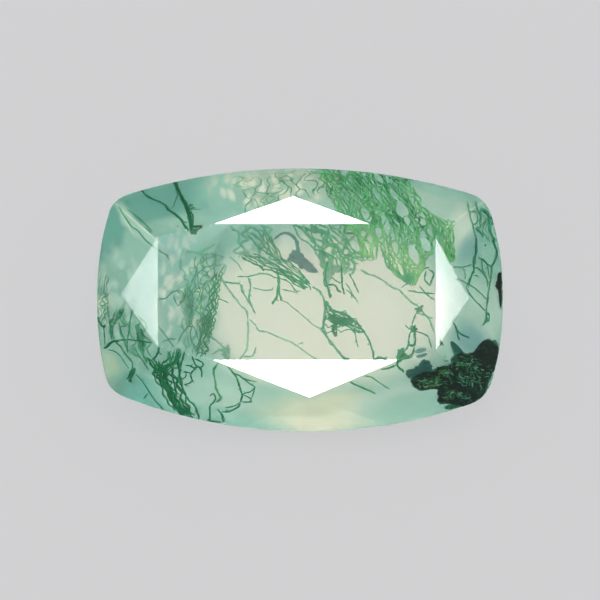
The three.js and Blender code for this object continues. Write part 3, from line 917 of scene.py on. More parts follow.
HANGING_BRANCHES = [
    (0.25, (0.14, 0.1), 0.2, 0.1, [(1.1, 1.6), (1.05, 0.8), (1.15, 0.5), (1.25, 0.08)]),
    (0.15, 0.1, 0.05, 0.0, [(1.15, 0.62), (1.4, 0.62), (1.6, 0.4), (1.72, 0.3)]),
    (0.2, 0.08, 0.15, 0.0, [(1.7, 1.4), (1.72, 0.9), (1.75, 0.6), (1.84, 0.22)]),
    (0.3, 0.06, 0.3, 0.0, [(2.0, 1.1), (2.3, 0.6), (2.42, 0.28)]),
    (0.3, 0.05, 0.35, 0.1, [(1.9, 0.7), (2.2, 0.2), (2.4, -0.12)]),
    (0.3, 0.05, 0.35, 0.1, [(1.9, 0.42), (2.05, 0.3), (2.22, 0.08)]),
    (0.3, 0.05, 0.25, 0.0, [(1.3, 0.95), (1.55, 0.75), (1.72, 0.7)]),
    (0.15, 0.06, 0.1, 0.0, [(5.15, 1.25), (5.25, 1.32), (5.35, 1.3)]),
    (0.2, 0.08, 0.2, 0.1, [(5.2, 1.2), (5.15, 0.85), (5.35, 0.6), (5.45, 0.85), (5.5, 1.1), (5.3, 1.25)]),
    (0.2, 0.06, 0.3, 0.0, [(4.45, 0.38), (5.0, 0.3), (5.55, 0.25)]),
    (0.2, 0.06, 0.3, 0.0, [(4.95, 0.6), (5.2, 0.25), (5.55, 0.0)]),
    (0.2, 0.05, 0.3, 0.0, [(4.2, 0.5), (4.3, 0.6), (4.45, 0.68)]),
    (0.9, 0.09, 0.6, 0.3, [(2.5, 1.25), (2.9, 1.05), (3.2, 0.95), (3.8, 0.55), (4.15, 0.4)]),
    (0.5, 0.09, 0.5, 0.2, [(4.1, 0.42), (4.5, 0.0), (4.9, -0.28)]),
    (0.5, 0.07, 0.5, 0.2, [(4.9, -0.28), (5.1, -0.55), (5.4, -0.9), (5.55, -1.35)]),
    (0.5, 0.1, 0.5, 0.2, [(4.85, -0.5), (4.95, -0.3), (5.1, -0.22)]),
    (0.5, 0.06, 0.5, 0.2, [(4.85, -0.55), (5.1, -0.62), (5.5, -0.75)]),
    (0.4, 0.07, 0.45, 0.2, [(4.85, -0.45), (4.7, -0.8), (4.62, -1.05)]),
    (0.2, 0.18, 0.2, 0.1, [(4.6, -1.05), (4.65, -1.2), (4.68, -1.32)]),
    (0.2, 0.05, 0.4, 0.0, [(4.33, -1.02), (4.42, -1.12), (4.55, -1.22)]),
    (0.2, (0.05, 0.1), 0.25, 0.0, [(4.75, -1.27), (5.1, -1.4), (5.3, -1.55), (5.35, -1.75), (5.42, -1.97)]),
    (0.2, 0.08, 0.35, 0.1, [(4.6, -1.25), (4.5, -1.6), (4.45, -1.9), (4.3, -2.1), (4.1, -2.3)]),
    (0.15, 0.13, 0.12, 0.0, [(4.72, -1.3), (4.75, -1.7), (4.7, -1.9), (4.5, -1.85)]),
    (0.15, 0.12, 0.12, 0.0, [(4.3, -1.98), (4.15, -2.2), (4.05, -2.5)]),
    (0.2, 0.1, 0.25, 0.0, [(4.7, -1.95), (4.62, -2.25), (4.35, -2.4), (4.1, -2.48)]),
    (0.15, 0.1, 0.15, 0.0, [(4.1, -2.3), (4.0, -2.65), (4.1, -2.85), (4.3, -2.98)]),
    (0.2, 0.08, 0.3, 0.0, [(3.35, -2.86), (3.7, -2.8), (4.0, -2.68)]),
    (0.15, (0.09, 0.05), 0.25, 0.0, [(2.05, -3.38), (2.5, -3.6), (3.15, -3.9)]),
    (0.25, (0.06, 0.05), 0.35, 0.0, [(2.6, -3.13), (3.0, -3.22), (3.4, -3.5), (3.72, -3.7)]),
]

WINDOW_BRANCHES = [
    (0.8, 0.08, 0.55, 0.3, [(-3.3, 1.0), (-3.0, 0.5), (-2.8, 0.25), (-2.5, -0.2), (-2.2, -0.45),
     (-2.15, -0.8)]),
    (0.9, 0.08, 0.6, 0.3, [(-2.15, -0.8), (-2.15, -1.6), (-2.2, -2.0), (-2.35, -2.25), (-2.5, -2.5)]),
    (0.5, 0.07, 0.55, 0.2, [(-2.35, -2.3), (-2.05, -2.35), (-1.9, -2.2), (-1.8, -1.95)]),
    (0.7, 0.06, 0.55, 0.2, [(-2.1, -0.8), (-1.9, -1.0), (-1.7, -1.25), (-1.4, -1.3), (-1.0, -1.5),
     (-0.6, -1.65), (-0.2, -1.85), (0.1, -2.05), (0.7, -2.5)]),
    (0.6, 0.04, 0.5, 0.1, [(-0.15, -1.87), (0.0, -1.8), (0.15, -1.74)]),
    (0.8, 0.1, 0.6, 0.5, [(-3.78, -1.46), (-3.45, -1.7), (-3.15, -2.0), (-2.95, -2.35)]),
    (0.8, 0.08, 0.6, 0.5, [(-3.65, -2.25), (-3.35, -2.1), (-3.05, -2.1)]),
    (0.4, 0.04, 0.45, 0.1, [(-0.75, -0.02), (-0.5, -0.15), (-0.15, -0.43), (0.2, -0.7), (0.5, -1.0),
     (0.85, -1.2)]),
    (0.3, 0.09, 0.3, 0.1, [(-0.2, -0.41), (-0.15, -0.44), (-0.1, -0.46)]),
    (0.5, (0.08, 0.13), 0.4, 0.3, [(0.5, 0.55), (0.8, 0.35), (1.0, 0.0), (1.05, -0.3), (1.0, -0.7),
     (0.95, -1.2)]),
    (0.4, 0.12, 0.4, 0.2, [(0.85, -1.15), (1.1, -1.5), (1.4, -1.9), (1.7, -2.3), (1.95, -2.5)]),
    (0.4, 0.07, 0.35, 0.2, [(0.9, -1.2), (1.0, -0.95), (1.05, -0.6)]),
    (0.3, (0.14, 0.16), 0.3, 0.2, [(1.05, -0.05), (1.3, -0.4), (1.9, -0.62), (2.3, -0.9), (2.5, -1.15)]),
    (0.2, (0.08, 0.12), 0.3, 0.1, [(2.5, -1.15), (2.75, -1.5), (2.9, -1.8), (3.0, -2.1), (3.05, -2.5)]),
    (0.3, 0.05, 0.45, 0.1, [(2.2, -1.15), (2.3, -1.5), (2.4, -1.95)]),
    (0.2, 0.05, 0.2, 0.1, [(1.05, -0.2), (1.2, -0.6), (1.45, -0.95), (1.5, -1.4)]),
    (0.2, 0.04, 0.25, 0.1, [(1.1, -0.75), (1.3, -0.9), (1.6, -1.1)]),
    (0.2, 0.04, 0.15, 0.1, [(1.3, -0.5), (1.7, -0.85), (2.1, -1.05), (2.3, -1.2)]),
    (0.3, 0.05, 0.4, 0.1, [(1.9, -1.1), (2.2, -1.2), (2.28, -1.45)]),
    (0.12, (0.08, 0.16), 0.08, 0.0, [(3.05, -2.45), (3.25, -2.4), (3.6, -2.46)]),
    (0.12, 0.1, 0.12, 0.1, [(1.75, -2.45), (1.9, -2.44), (2.05, -2.47)]),
]

RIGHT_BRANCHES = [
    (0.4, 0.08, 0.35, 0.2, [(7.0, 4.1), (7.1, 3.4), (7.2, 3.1), (7.35, 2.6)]),
    (0.3, 0.12, 0.25, 0.2, [(7.35, 2.7), (7.3, 2.1), (7.25, 1.6), (7.2, 1.1)]),
    (0.2, 0.1, 0.2, 0.1, [(7.2, 1.2), (7.0, 0.8), (6.9, 0.48)]),
    (0.25, 0.06, 0.3, 0.1, [(6.9, 0.48), (7.2, 0.0), (7.45, -0.22), (7.75, -0.45)]),
    (0.3, 0.08, 0.3, 0.2, [(7.35, 4.1), (7.4, 3.8), (7.55, 3.5), (7.5, 3.2)]),
    (0.3, 0.07, 0.4, 0.2, [(7.1, 3.65), (7.3, 3.7), (7.4, 3.5), (7.35, 3.2), (7.15, 3.15)]),
    (0.3, (0.16, 0.12), 0.25, 0.2, [(7.5, 3.75), (7.8, 3.7), (7.9, 3.4), (7.95, 2.9), (8.1, 2.4)]),
    (0.2, 0.12, 0.2, 0.1, [(8.05, 2.5), (8.2, 2.0), (8.15, 1.7), (8.0, 1.4)]),
    (0.25, 0.09, 0.25, 0.1, [(8.0, 1.4), (7.95, 0.9), (7.87, 0.5), (7.78, -0.1), (7.75, -0.5)]),
    (0.15, 0.1, 0.2, 0.1, [(7.75, -0.4), (7.72, -0.8), (7.6, -1.07)]),
    (0.2, 0.09, 0.2, 0.1, [(7.4, 1.75), (7.6, 1.65), (7.8, 1.5), (8.0, 1.4)]),
    (0.25, 0.08, 0.3, 0.2, [(7.25, 1.35), (7.4, 1.3), (7.6, 1.1), (7.75, 0.9), (7.82, 0.5)]),
    (0.25, 0.06, 0.35, 0.1, [(7.55, 1.65), (7.6, 1.3), (7.75, 1.05)]),
    (0.25, 0.06, 0.35, 0.1, [(7.8, 1.5), (7.85, 1.1), (7.95, 0.85)]),
    (0.2, 0.06, 0.25, 0.1, [(7.2, 1.02), (7.3, 1.0), (7.42, 0.93)]),
    (0.5, 0.06, 0.4, 0.4, [(6.35, 1.36), (6.8, 1.37), (7.15, 1.47)]),
    (0.5, 0.06, 0.4, 0.4, [(6.73, 1.35), (6.85, 1.15), (6.86, 0.88)]),
    (0.3, 0.05, 0.35, 0.2, [(6.45, 0.92), (6.9, 0.68), (7.3, 0.45), (7.75, 0.05)]),
    (0.2, 0.07, 0.25, 0.1, [(7.75, -0.5), (7.9, -0.62), (7.85, -0.85), (7.72, -0.9)]),
    (0.2, 0.06, 0.25, 0.1, [(7.6, 0.15), (7.75, 0.05), (7.9, 0.08)]),
    (0.15, 0.08, 0.15, 0.1, [(6.3, -0.92), (6.45, -1.15), (6.52, -1.4), (6.62, -1.66)]),
    (0.15, 0.07, 0.15, 0.1, [(6.42, -1.15), (6.7, -1.45), (7.03, -1.58)]),
    (0.15, 0.07, 0.15, 0.0, [(5.82, -1.58), (5.8, -1.75), (5.77, -1.9)]),
    (0.15, 0.06, 0.15, 0.0, [(5.82, -1.68), (5.86, -1.78), (5.92, -1.9)]),
    (0.5, 0.06, 0.5, 0.4, [(6.25, -0.95), (6.4, -0.75), (6.55, -0.6)]),
]

# Specks: place, depth, width and tone.
SPECKS = [
    ((-7.2, 4.1), 0.15, 0.09, 0.15), ((-4.63, 2.03), 0.15, 0.07, 0.2), ((-4.12, 0.5), 0.15, 0.07, 0.1),
    ((-4.65, 0.52), 0.15, 0.07, 0.1), ((7.72, 2.27), 0.1, 0.11, 0.0), ((7.57, 2.45), 0.2, 0.07, 0.2),
    ((0.95, -4.9), 0.12, 0.06, 0.0), ((-5.05, 3.05), 0.3, 0.09, 0.4), ((0.05, -2.03), 0.4, 0.09, 0.4),
    ((6.4, 3.25), 0.4, 0.1, 0.5), ((6.55, 3.42), 0.4, 0.07, 0.5), ((-3.7, -3.45), 0.15, 0.06, 0.8),
]

MAT_HOLES = [
    (4.25, 3.75, 0.2, 0.26, -65), (2.75, 3.55, 0.1, 0.25, -62), (3.28, 3.63, 0.13, 0.13, -62),
    (3.6, 3.05, 0.12, 0.42, -64), (3.28, 4.2, 0.05, 0.3, -60), (3.9, 4.4, 0.07, 0.2, -60),
    (4.42, 3.3, 0.06, 0.14, -60), (4.7, 1.9, 0.13, 0.4, -65), (5.2, 2.4, 0.12, 0.38, -66),
    (5.4, 2.75, 0.04, 0.2, -62), (3.95, 2.1, 0.06, 0.3, -70), (2.25, 2.45, 0.14, 0.42, -64),
    (2.82, 2.2, 0.08, 0.25, -68), (3.15, 1.95, 0.1, 0.22, -62), (2.65, 2.7, 0.11, 0.13, -60),
    (2.88, 2.5, 0.08, 0.1, -60), (3.22, 2.82, 0.1, 0.18, -60), (3.72, 3.68, 0.06, 0.1, -60),
    (3.3, 5.15, 0.12, 0.15, -60), (3.7, 5.08, 0.08, 0.12, -60), (1.85, 5.35, 0.15, 0.1, 0),
    (5.1, 3.35, 0.06, 0.2, -70), (4.15, 1.25, 0.05, 0.2, -70),
]

MAT_SHADES = [
    (1.2, 4.6, 0.16, 0.6, -68, -0.3), (2.4, 4.85, 0.25, 0.6, 0, -0.2), (4.7, 3.7, 0.16, 0.8, -60, -0.3),
    (4.1, 3.2, 0.25, 0.5, 0, -0.2), (4.0, 5.2, 0.12, 0.4, -10, -0.2), (3.65, 1.45, 0.2, 0.7, -58, -0.3),
    (4.55, 0.8, 0.3, 0.4, -40, -0.5), (2.75, 1.7, 0.15, 0.35, 0, -0.3), (5.1, 3.1, 0.12, 0.5, -65, -0.3),
    (2.9, 4.25, 0.45, 0.8, -50, 0.25), (1.0, 5.25, 0.3, 0.8, 0, 0.3), (4.6, 1.4, 0.2, 0.4, -60, 0.1),
    (2.0, 4.0, 0.4, 0.5, 0, 0.2), (6.0, 2.6, 0.2, 0.7, -75, -0.1),
]

LEFT_NET_HOLES = [
    (-3.93, 0.1, 0.09, 0.4, 90), (-3.58, -0.1, 0.05, 0.25, 90), (-4.32, -0.8, 0.14, 0.2, 90),
    (-4.32, -1.45, 0.12, 0.32, 88), (-4.0, 0.8, 0.06, 0.15, 70), (-3.98, -1.45, 0.05, 0.22, 80),
    (-3.66, 1.7, 0.1, 0.2, 90), (-4.5, 1.1, 0.1, 0.2, 70), (-4.25, 0.25, 0.05, 0.15, 90),
]

# Thin films of moss between the threads: depth, tone and coolness, a middle, then the outline.
FILMS = [
    (1.1, 0.8, 0.9, (-4.65, -0.2), [(-4.85, 0.5), (-4.6, 0.6), (-4.45, 0.3), (-4.4, -0.3), (-4.55, -1.0),
                                    (-4.7, -1.1), (-4.85, -0.6)]),
    (0.5, 0.7, 0.3, (-3.85, -1.1), [(-4.0, -0.8), (-3.75, -0.5), (-3.65, -1.0), (-3.72, -1.45), (-3.9, -1.5)
     ]),
    (1.3, 0.7, 0.9, (1.15, 1.4), [(0.75, 1.8), (1.1, 1.6), (1.6, 1.4), (2.3, 1.5), (2.65, 1.42), (2.2, 1.2),
                                  (1.5, 1.12), (1.25, 0.8), (1.1, 0.5), (0.98, 0.9), (1.0, 1.2)]),
    (1.0, 0.8, 0.8, (-3.1, -2.1), [(-3.5, -2.0), (-3.2, -2.0), (-2.95, -1.85), (-2.95, -2.2), (-2.9, -2.5),
                                   (-3.15, -2.42), (-3.25, -2.15)]),
    (0.6, 0.5, 0.5, (-6.6, -1.6), [(-6.75, -1.1), (-6.5, -1.3), (-6.42, -1.9), (-6.6, -2.2), (-6.78, -1.7)]),
    (0.6, 0.5, 0.6, (-7.7, -0.8), [(-8.0, -0.9), (-7.65, -0.5), (-7.4, -0.35), (-7.5, -0.75), (-7.8, -0.98)]),
    (0.15, 0.1, 0.1, (-4.45, 3.05), [(-4.65, 3.2), (-4.3, 3.08), (-4.12, 3.12), (-4.15, 2.95), (-4.25, 2.75),
                                     (-4.45, 2.7), (-4.58, 2.85)]),
    (0.35, 0.05, 0.3, (1.8, -0.85), [(1.4, -0.8), (1.7, -0.7), (2.05, -0.76), (2.2, -0.98), (1.8, -1.05)]),
    (0.2, 0.25, 0.2, (1.6, -0.82), [(1.15, -0.48), (1.35, -0.6), (1.65, -0.66), (1.95, -0.76), (2.12, -0.92),
                                    (1.95, -1.0), (1.75, -0.98), (1.6, -1.1), (1.4, -1.0), (1.25, -0.8)]),
    (0.3, 0.3, 0.2, (1.4, -1.3), [(1.3, -1.0), (1.5, -1.0), (1.45, -1.2), (1.54, -1.42), (1.38, -1.46),
     (1.3, -1.25)]),
    (0.15, 0.3, 0.1, (6.4, -4.48), [(5.98, -4.62), (6.1, -4.45), (6.4, -4.35), (6.85, -4.36), (6.75, -4.45),
                                    (6.3, -4.55)]),
    (0.4, 0.3, 0.4, (4.95, -0.35), [(4.8, -0.6), (4.85, -0.3), (5.15, -0.22), (5.0, -0.45)]),
    (0.15, 0.1, 0.1, (4.65, -1.18), [(4.58, -1.05), (4.72, -1.05), (4.78, -1.28), (4.58, -1.28)]),
    (0.2, 0.2, 0.1, (4.2, -2.3), [(4.05, -2.1), (4.25, -1.95), (4.3, -2.2), (4.65, -2.3), (4.3, -2.45),
     (4.0, -2.6)]),
]

# The mat's sheets: the left and right guide, how many threads, and depth.
MAT_SHEETS = [
    ([(0.85, 5.45), (1.05, 4.8), (1.3, 4.2), (1.55, 3.6), (1.9, 3.05), (2.25, 2.4), (2.55, 1.75)],
     [(2.3, 5.45), (2.55, 4.8), (2.8, 4.2), (3.0, 3.6), (3.15, 3.05), (3.2, 2.4), (3.1, 1.7)], 13, 0.4),
    ([(2.2, 5.45), (2.5, 4.8), (2.8, 4.2), (3.1, 3.5), (3.25, 2.8), (3.35, 2.2), (3.5, 1.6), (3.85, 1.15),
      (4.2, 0.85), (4.45, 0.62)],
     [(4.35, 5.25), (4.8, 4.5), (5.15, 3.9), (5.35, 3.4), (5.45, 2.8), (5.35, 2.2), (5.15, 1.6), (4.95, 1.1),
      (4.75, 0.6)], 16, 0.4),
    ([(5.2, 3.75), (5.5, 3.1), (5.75, 2.5), (6.0, 2.0), (6.2, 1.55)],
     [(6.25, 3.25), (6.32, 2.7), (6.38, 2.1), (6.4, 1.6)], 8, 0.3),
]

# Chain nets: the left and right guide, how many threads, depth, width, tone, coolness, wavelength, swing,
# warp, step and holes.
NETS = [
    ([(-3.5, 1.1), (-3.62, 0.4), (-3.74, -0.3), (-3.88, -0.9), (-4.02, -1.5), (-4.3, -2.35)],
     [(-3.28, 1.2), (-3.38, 0.5), (-3.5, -0.4), (-3.6, -1.0), (-3.78, -1.6), (-3.95, -2.4)],
     3, 0.2, 0.07, 0.35, 0.05, 0.4, 0.4, 0.03, 0.04, ()),
    ([(-3.42, 1.2), (-3.55, 0.5), (-3.66, -0.3), (-3.8, -0.9), (-3.95, -1.5), (-4.15, -2.3)],
     [(-3.2, 1.4), (-3.32, 0.6), (-3.45, -0.4), (-3.58, -1.0), (-3.75, -1.6), (-3.9, -2.4)],
     3, 0.35, 0.055, 0.3, 0.1, 0.3, 0.42, 0.03, 0.04, ()),
    ([(-4.3, 1.8), (-4.45, 0.7), (-4.5, -0.2), (-4.47, -0.9), (-4.42, -1.6), (-4.35, -2.4)],
     [(-3.5, 1.9), (-3.6, 0.9), (-3.78, 0.1), (-3.88, -0.5), (-4.05, -1.2), (-4.15, -2.3)],
     6, 0.4, 0.05, 0.45, 0.2, 0.5, 0.45, 0.05, 0.05, LEFT_NET_HOLES),
    ([(-5.0, 2.2), (-4.9, 1.0), (-4.85, -0.3), (-4.75, -1.4), (-4.9, -2.2)],
     [(-3.3, 2.5), (-3.5, 1.2), (-3.7, 0.2), (-3.9, -0.9), (-4.3, -2.1)],
     4, 1.3, 0.1, 0.9, 0.8, 0.9, 0.5, 0.08, 0.08, ()),
    ([(-1.75, 2.9), (-1.5, 2.3), (-1.2, 1.9), (-0.8, 1.45), (-0.2, 1.0), (0.35, 0.55)],
     [(-1.2, 2.7), (-1.0, 2.2), (-0.7, 1.75), (-0.2, 1.35), (0.2, 0.95), (0.5, 0.6)],
     5, (0.8, 0.15), 0.06, 0.22, 0.1, 0.8, 0.42, 0.03, 0.05, ()),
    ([(-2.5, 1.85), (-2.0, 1.55), (-1.4, 1.3), (-0.8, 1.05), (-0.3, 0.7), (0.25, 0.42)],
     [(-2.0, 1.95), (-1.6, 1.75), (-1.1, 1.5), (-0.6, 1.2), (-0.1, 0.85), (0.4, 0.5)],
     5, (0.5, 0.15), 0.055, 0.2, 0.1, 0.7, 0.42, 0.03, 0.05, ()),
    ([(-6.3, -2.4), (-6.05, -2.95), (-5.9, -3.5), (-5.6, -4.1), (-5.2, -4.6), (-5.0, -4.85)],
     [(-5.4, -2.6), (-5.2, -3.1), (-5.0, -3.7), (-4.85, -4.2), (-4.65, -4.6), (-4.5, -4.9)],
     6, 0.2, 0.08, 0.22, 0.05, 0.5, 0.5, 0.05, 0.05, ()),
    ([(-6.3, -2.35), (-6.05, -2.85), (-5.8, -3.4), (-5.45, -4.0), (-5.15, -4.5), (-4.95, -4.8)],
     [(-5.9, -2.5), (-5.7, -2.95), (-5.45, -3.5), (-5.15, -4.1), (-4.85, -4.55), (-4.7, -4.85)],
     4, 0.12, 0.09, 0.1, 0.0, 0.36, 0.5, 0.03, 0.04, ()),
    ([(-5.45, -2.1), (-5.5, -2.5), (-5.9, -2.95)], [(-4.85, -2.1), (-4.9, -2.7), (-5.1, -2.95)],
     6, 0.3, 0.1, 0.45, 0.1, 0.5, 0.4, 0.05, 0.05, ()),
    ([(-8.35, 1.1), (-8.45, 0.0), (-8.4, -0.9)], [(-8.0, 1.1), (-8.05, 0.2), (-8.1, -1.0)],
     4, 0.25, 0.05, 0.45, 0.0, 0.35, 0.5, 0.03, 0.04, ()),
    ([(-7.6, -0.4), (-7.3, -1.5), (-6.9, -2.4)], [(-6.6, -0.7), (-6.4, -1.6), (-6.2, -2.3)],
     4, 0.8, 0.09, 0.75, 0.7, 1.2, 0.5, 0.05, 0.08, ()),
    ([(-2.6, 5.15), (-2.3, 4.4), (-2.1, 3.6)], [(-0.4, 5.3), (-0.6, 4.6), (-1.0, 4.0)],
     6, 0.5, 0.045, 0.4, 0.1, 0.55, 0.5, 0.08, 0.05, ()),
    ([(-0.9, 5.3), (-0.6, 4.8), (-0.3, 4.3)], [(0.9, 5.3), (0.9, 4.8), (0.8, 4.4)],
     5, 0.5, 0.045, 0.4, 0.1, 0.6, 0.5, 0.08, 0.05, ()),
    ([(-2.9, 3.1), (-2.6, 2.4), (-2.4, 1.8)], [(-1.3, 3.1), (-1.2, 2.5), (-1.0, 1.6)],
     5, 1.2, 0.13, 0.65, 0.7, 0.9, 0.55, 0.1, 0.08, ()),
    ([(0.4, 3.15), (0.9, 2.4), (0.95, 1.8), (1.05, 1.2)], [(2.9, 3.1), (2.6, 2.4), (2.3, 1.9), (2.0, 1.1)],
     8, 0.8, 0.12, 0.65, 0.4, 0.9, 0.5, 0.1, 0.08, MAT_HOLES),
    ([(-0.2, 3.15), (0.6, 2.5), (1.2, 1.8), (1.9, 1.2)], [(1.8, 3.15), (2.2, 2.6), (2.6, 2.0), (2.9, 1.6)],
     8, 0.5, 0.08, 0.6, 0.2, 0.8, 0.5, 0.1, 0.08, MAT_HOLES),
    ([(7.5, 3.9), (7.45, 3.2), (7.5, 2.6)], [(8.0, 3.4), (8.05, 2.9), (8.1, 2.4)],
     5, 0.4, 0.08, 0.4, 0.3, 0.5, 0.5, 0.1, 0.08, ()),
    ([(1.05, -0.3), (1.5, -0.48), (2.05, -0.65), (2.7, -1.3)],
     [(0.95, -1.2), (1.35, -1.3), (1.9, -1.25), (2.5, -1.35)],
     6, 0.25, 0.05, 0.2, 0.1, 0.5, 0.5, 0.05, 0.04, ()),
    ([(-6.15, -2.6), (-5.75, -3.5), (-5.2, -4.4), (-4.6, -4.95)],
     [(-5.2, -2.9), (-4.95, -3.7), (-4.6, -4.5), (-4.3, -4.95)],
     4, 0.16, 0.07, 0.12, 0.0, 0.6, 0.45, 0.06, 0.05, ()),
]

# Painted glints: pale curls on the dark mass that stand in for light sparkling off it. Place, half width,
# half length, turn, how many, tone and share of the lichen colour.
GLINT_CURLS = [
    (5.4, -3.35, 0.3, 0.8, 0, 70, 0.9, 0.25), (7.1, -2.7, 0.3, 0.8, -15, 60, 1.0, 0.05),
    (6.6, -3.2, 0.3, 0.9, -30, 60, 1.0, 0.1), (7.2, -3.3, 0.4, 0.6, -40, 50, 1.0, 0.0),
    (6.25, -3.95, 0.22, 0.25, 30, 24, 1.0, 0.1), (6.8, -4.0, 0.15, 0.5, -20, 40, 1.0, 0.1),
    (5.6, -3.56, 0.03, 0.5, 5, 24, 0.9, 0.4), (7.9, -3.1, 0.3, 0.15, 0, 16, 0.8, 0.0),
    (5.9, -2.95, 0.15, 0.35, 10, 24, 0.7, 0.3), (6.6, -2.65, 0.1, 0.2, 0, 16, 1.0, 0.4),
    (6.9, -3.0, 0.7, 1.1, -20, 90, 0.7, 0.1),
]

# The place in the dark mass from which all of it shows, then the outlines of the mass and of the blots.
MASS_MIDDLE = (6.7, -3.2)
DARK_MASS = [
    (8.3, -2.0), (8.12, -1.78), (7.85, -1.67), (7.6, -1.72), (7.4, -1.92), (7.25, -2.15), (6.95, -2.25),
    (6.6, -2.2), (6.45, -2.5), (6.3, -2.62), (6.0, -2.75), (5.7, -2.8), (5.55, -2.98), (5.2, -2.98),
    (4.85, -3.1), (4.62, -3.3), (4.68, -3.48), (5.0, -3.76), (5.5, -3.7), (5.76, -3.76), (5.75, -4.1),
    (5.85, -4.28), (6.3, -4.3), (6.9, -4.42), (7.5, -4.17), (7.7, -3.9), (7.9, -3.35), (8.12, -2.85),
    (8.27, -2.35),
]
DARK_ARM = [
    (4.33, -3.1), (4.45, -2.9), (4.75, -2.84), (4.95, -2.6), (5.15, -2.45), (5.35, -2.55), (5.42, -2.8),
    (5.35, -3.05), (5.0, -3.15), (4.8, -3.2), (4.55, -3.27),
]
BLUE_BLOT = [
    (-0.5, 1.9), (-0.2, 2.15), (0.05, 1.95), (0.4, 1.62), (0.7, 1.3), (0.65, 1.12), (0.3, 1.2), (-0.1, 1.45),
    (-0.42, 1.65),
]
DARK_SPIKE = [(6.2, -1.75), (6.35, -1.72), (6.75, -2.1), (6.85, -2.4), (6.6, -2.55), (6.4, -2.3)]
DARK_RIM = [
    (8.44, 1.2), (8.25, 1.08), (8.24, 0.8), (8.14, 0.6), (8.28, 0.3), (8.33, -0.1), (8.43, -0.42),
    (8.46, 0.3),
]
BLUE_TAIL = [(-1.1, 2.5), (-0.85, 2.7), (-0.6, 2.78), (-0.35, 2.68), (-0.15, 2.45), (-0.1, 2.2), (-0.08, 1.8)]

# Operators


class AGATE_OT_stone(bpy.types.Operator):
    """Make the polished stone from the CAD node, with rounded facet edges and the milky tinted body"""

    bl_idname = "agate.stone"
    bl_label = "Stone"

    def execute(self, context):
        settings = context.scene.agate_stone
        shape = bmesh.new()
        shape.from_mesh(STONE_NODE.data)
        bmesh.ops.remove_doubles(shape, verts=shape.verts, dist=0.001 * MM)
        bmesh.ops.dissolve_limit(shape, angle_limit=math.radians(0.3), verts=shape.verts, edges=shape.edges)
        mesh = bpy.data.meshes.new("agate_stone")
        shape.to_mesh(mesh)
        shape.free()
        mesh.materials.append(stone_material(settings))
        stone = bpy.data.objects.new("agate_stone", mesh)
        context.scene.collection.objects.link(stone)
        edges = stone.modifiers.new("facet_edges", "BEVEL")
        edges.width = settings.edge_width
        edges.segments = 2
        edges.limit_method = "ANGLE"
        edges.angle_limit = math.radians(5)
        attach(stone, "root")
        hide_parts("agate")
        return {"FINISHED"}


class AGATE_OT_branches(bpy.types.Operator):
    """Grow the single moss threads with their side spurs, and the specks between them"""

    bl_idname = "agate.branches"
    bl_label = "Branches"

    def execute(self, context):
        moss = Moss(seed=7, sides=6)
        groups = (UPPER_LEFT_BRANCHES, LEFT_BRANCHES, LOWER_LEFT_BRANCHES, BOTTOM_BRANCHES, CENTRE_BRANCHES,
                  HANGING_BRANCHES, WINDOW_BRANCHES, RIGHT_BRANCHES)
        for group in groups:
            for depth, width, tone, cool, route in group:
                moss.branch(route, depth, width, tone, cool)
        for middle, depth, width, tone in SPECKS:
            moss.lump(oval(middle, (width / 2, width / 2.6), 20, 10), middle, depth, width / 2, 0.0, tone,
                      spokes=10, rings=5)
        moss.piece("moss_branches", moss_material("moss_branches", context.scene.agate_moss))
        return {"FINISHED"}


class AGATE_OT_mat(bpy.types.Operator):
    """Grow the dense bright mat of fibres in the upper right"""

    bl_idname = "agate.mat"
    bl_label = "Fibre mat"

    def execute(self, context):
        moss = Moss(seed=11, sides=5)
        for left, right, count, depth in MAT_SHEETS:
            moss.net(left, right, count, depth, 0.085, 0.84, 0.05, wave=0.5, swing=0.38, holes=MAT_HOLES,
                     shades=MAT_SHADES, warp=0.04, step=0.06)
            # A finer layer of thin bright fibres near the surface: partly lighter moss, partly painted glints
            # on the mat.
            moss.net(left, right, count - 3, depth / 3, 0.04, 0.95, 0.0, wave=0.4, swing=0.4, holes=MAT_HOLES,
                     shades=MAT_SHADES, warp=0.04, step=0.05)
        moss.net([(1.1, 5.35), (1.6, 5.25), (2.2, 5.1)], [(0.4, 5.4), (1.2, 4.9), (2.0, 4.5)],
                 7, 0.15, 0.07, 0.9, 0.0, wave=0.5, swing=0.5)
        moss.piece("moss_mat", moss_material("moss_mat", context.scene.agate_moss))
        return {"FINISHED"}


class AGATE_OT_nets(bpy.types.Operator):
    """Grow the chain nets: those on the left, the web in the middle, and those beside and behind the mat"""

    bl_idname = "agate.nets"
    bl_label = "Chain nets"

    def execute(self, context):
        moss = Moss(seed=19, sides=5)
        for left, right, count, depth, width, tone, cool, wave, swing, warp, step, holes in NETS:
            moss.net(left, right, count, depth, width, tone, cool, wave, swing, holes, warp=warp, step=step)
        moss.piece("moss_nets", moss_material("moss_nets", context.scene.agate_moss))
        return {"FINISHED"}


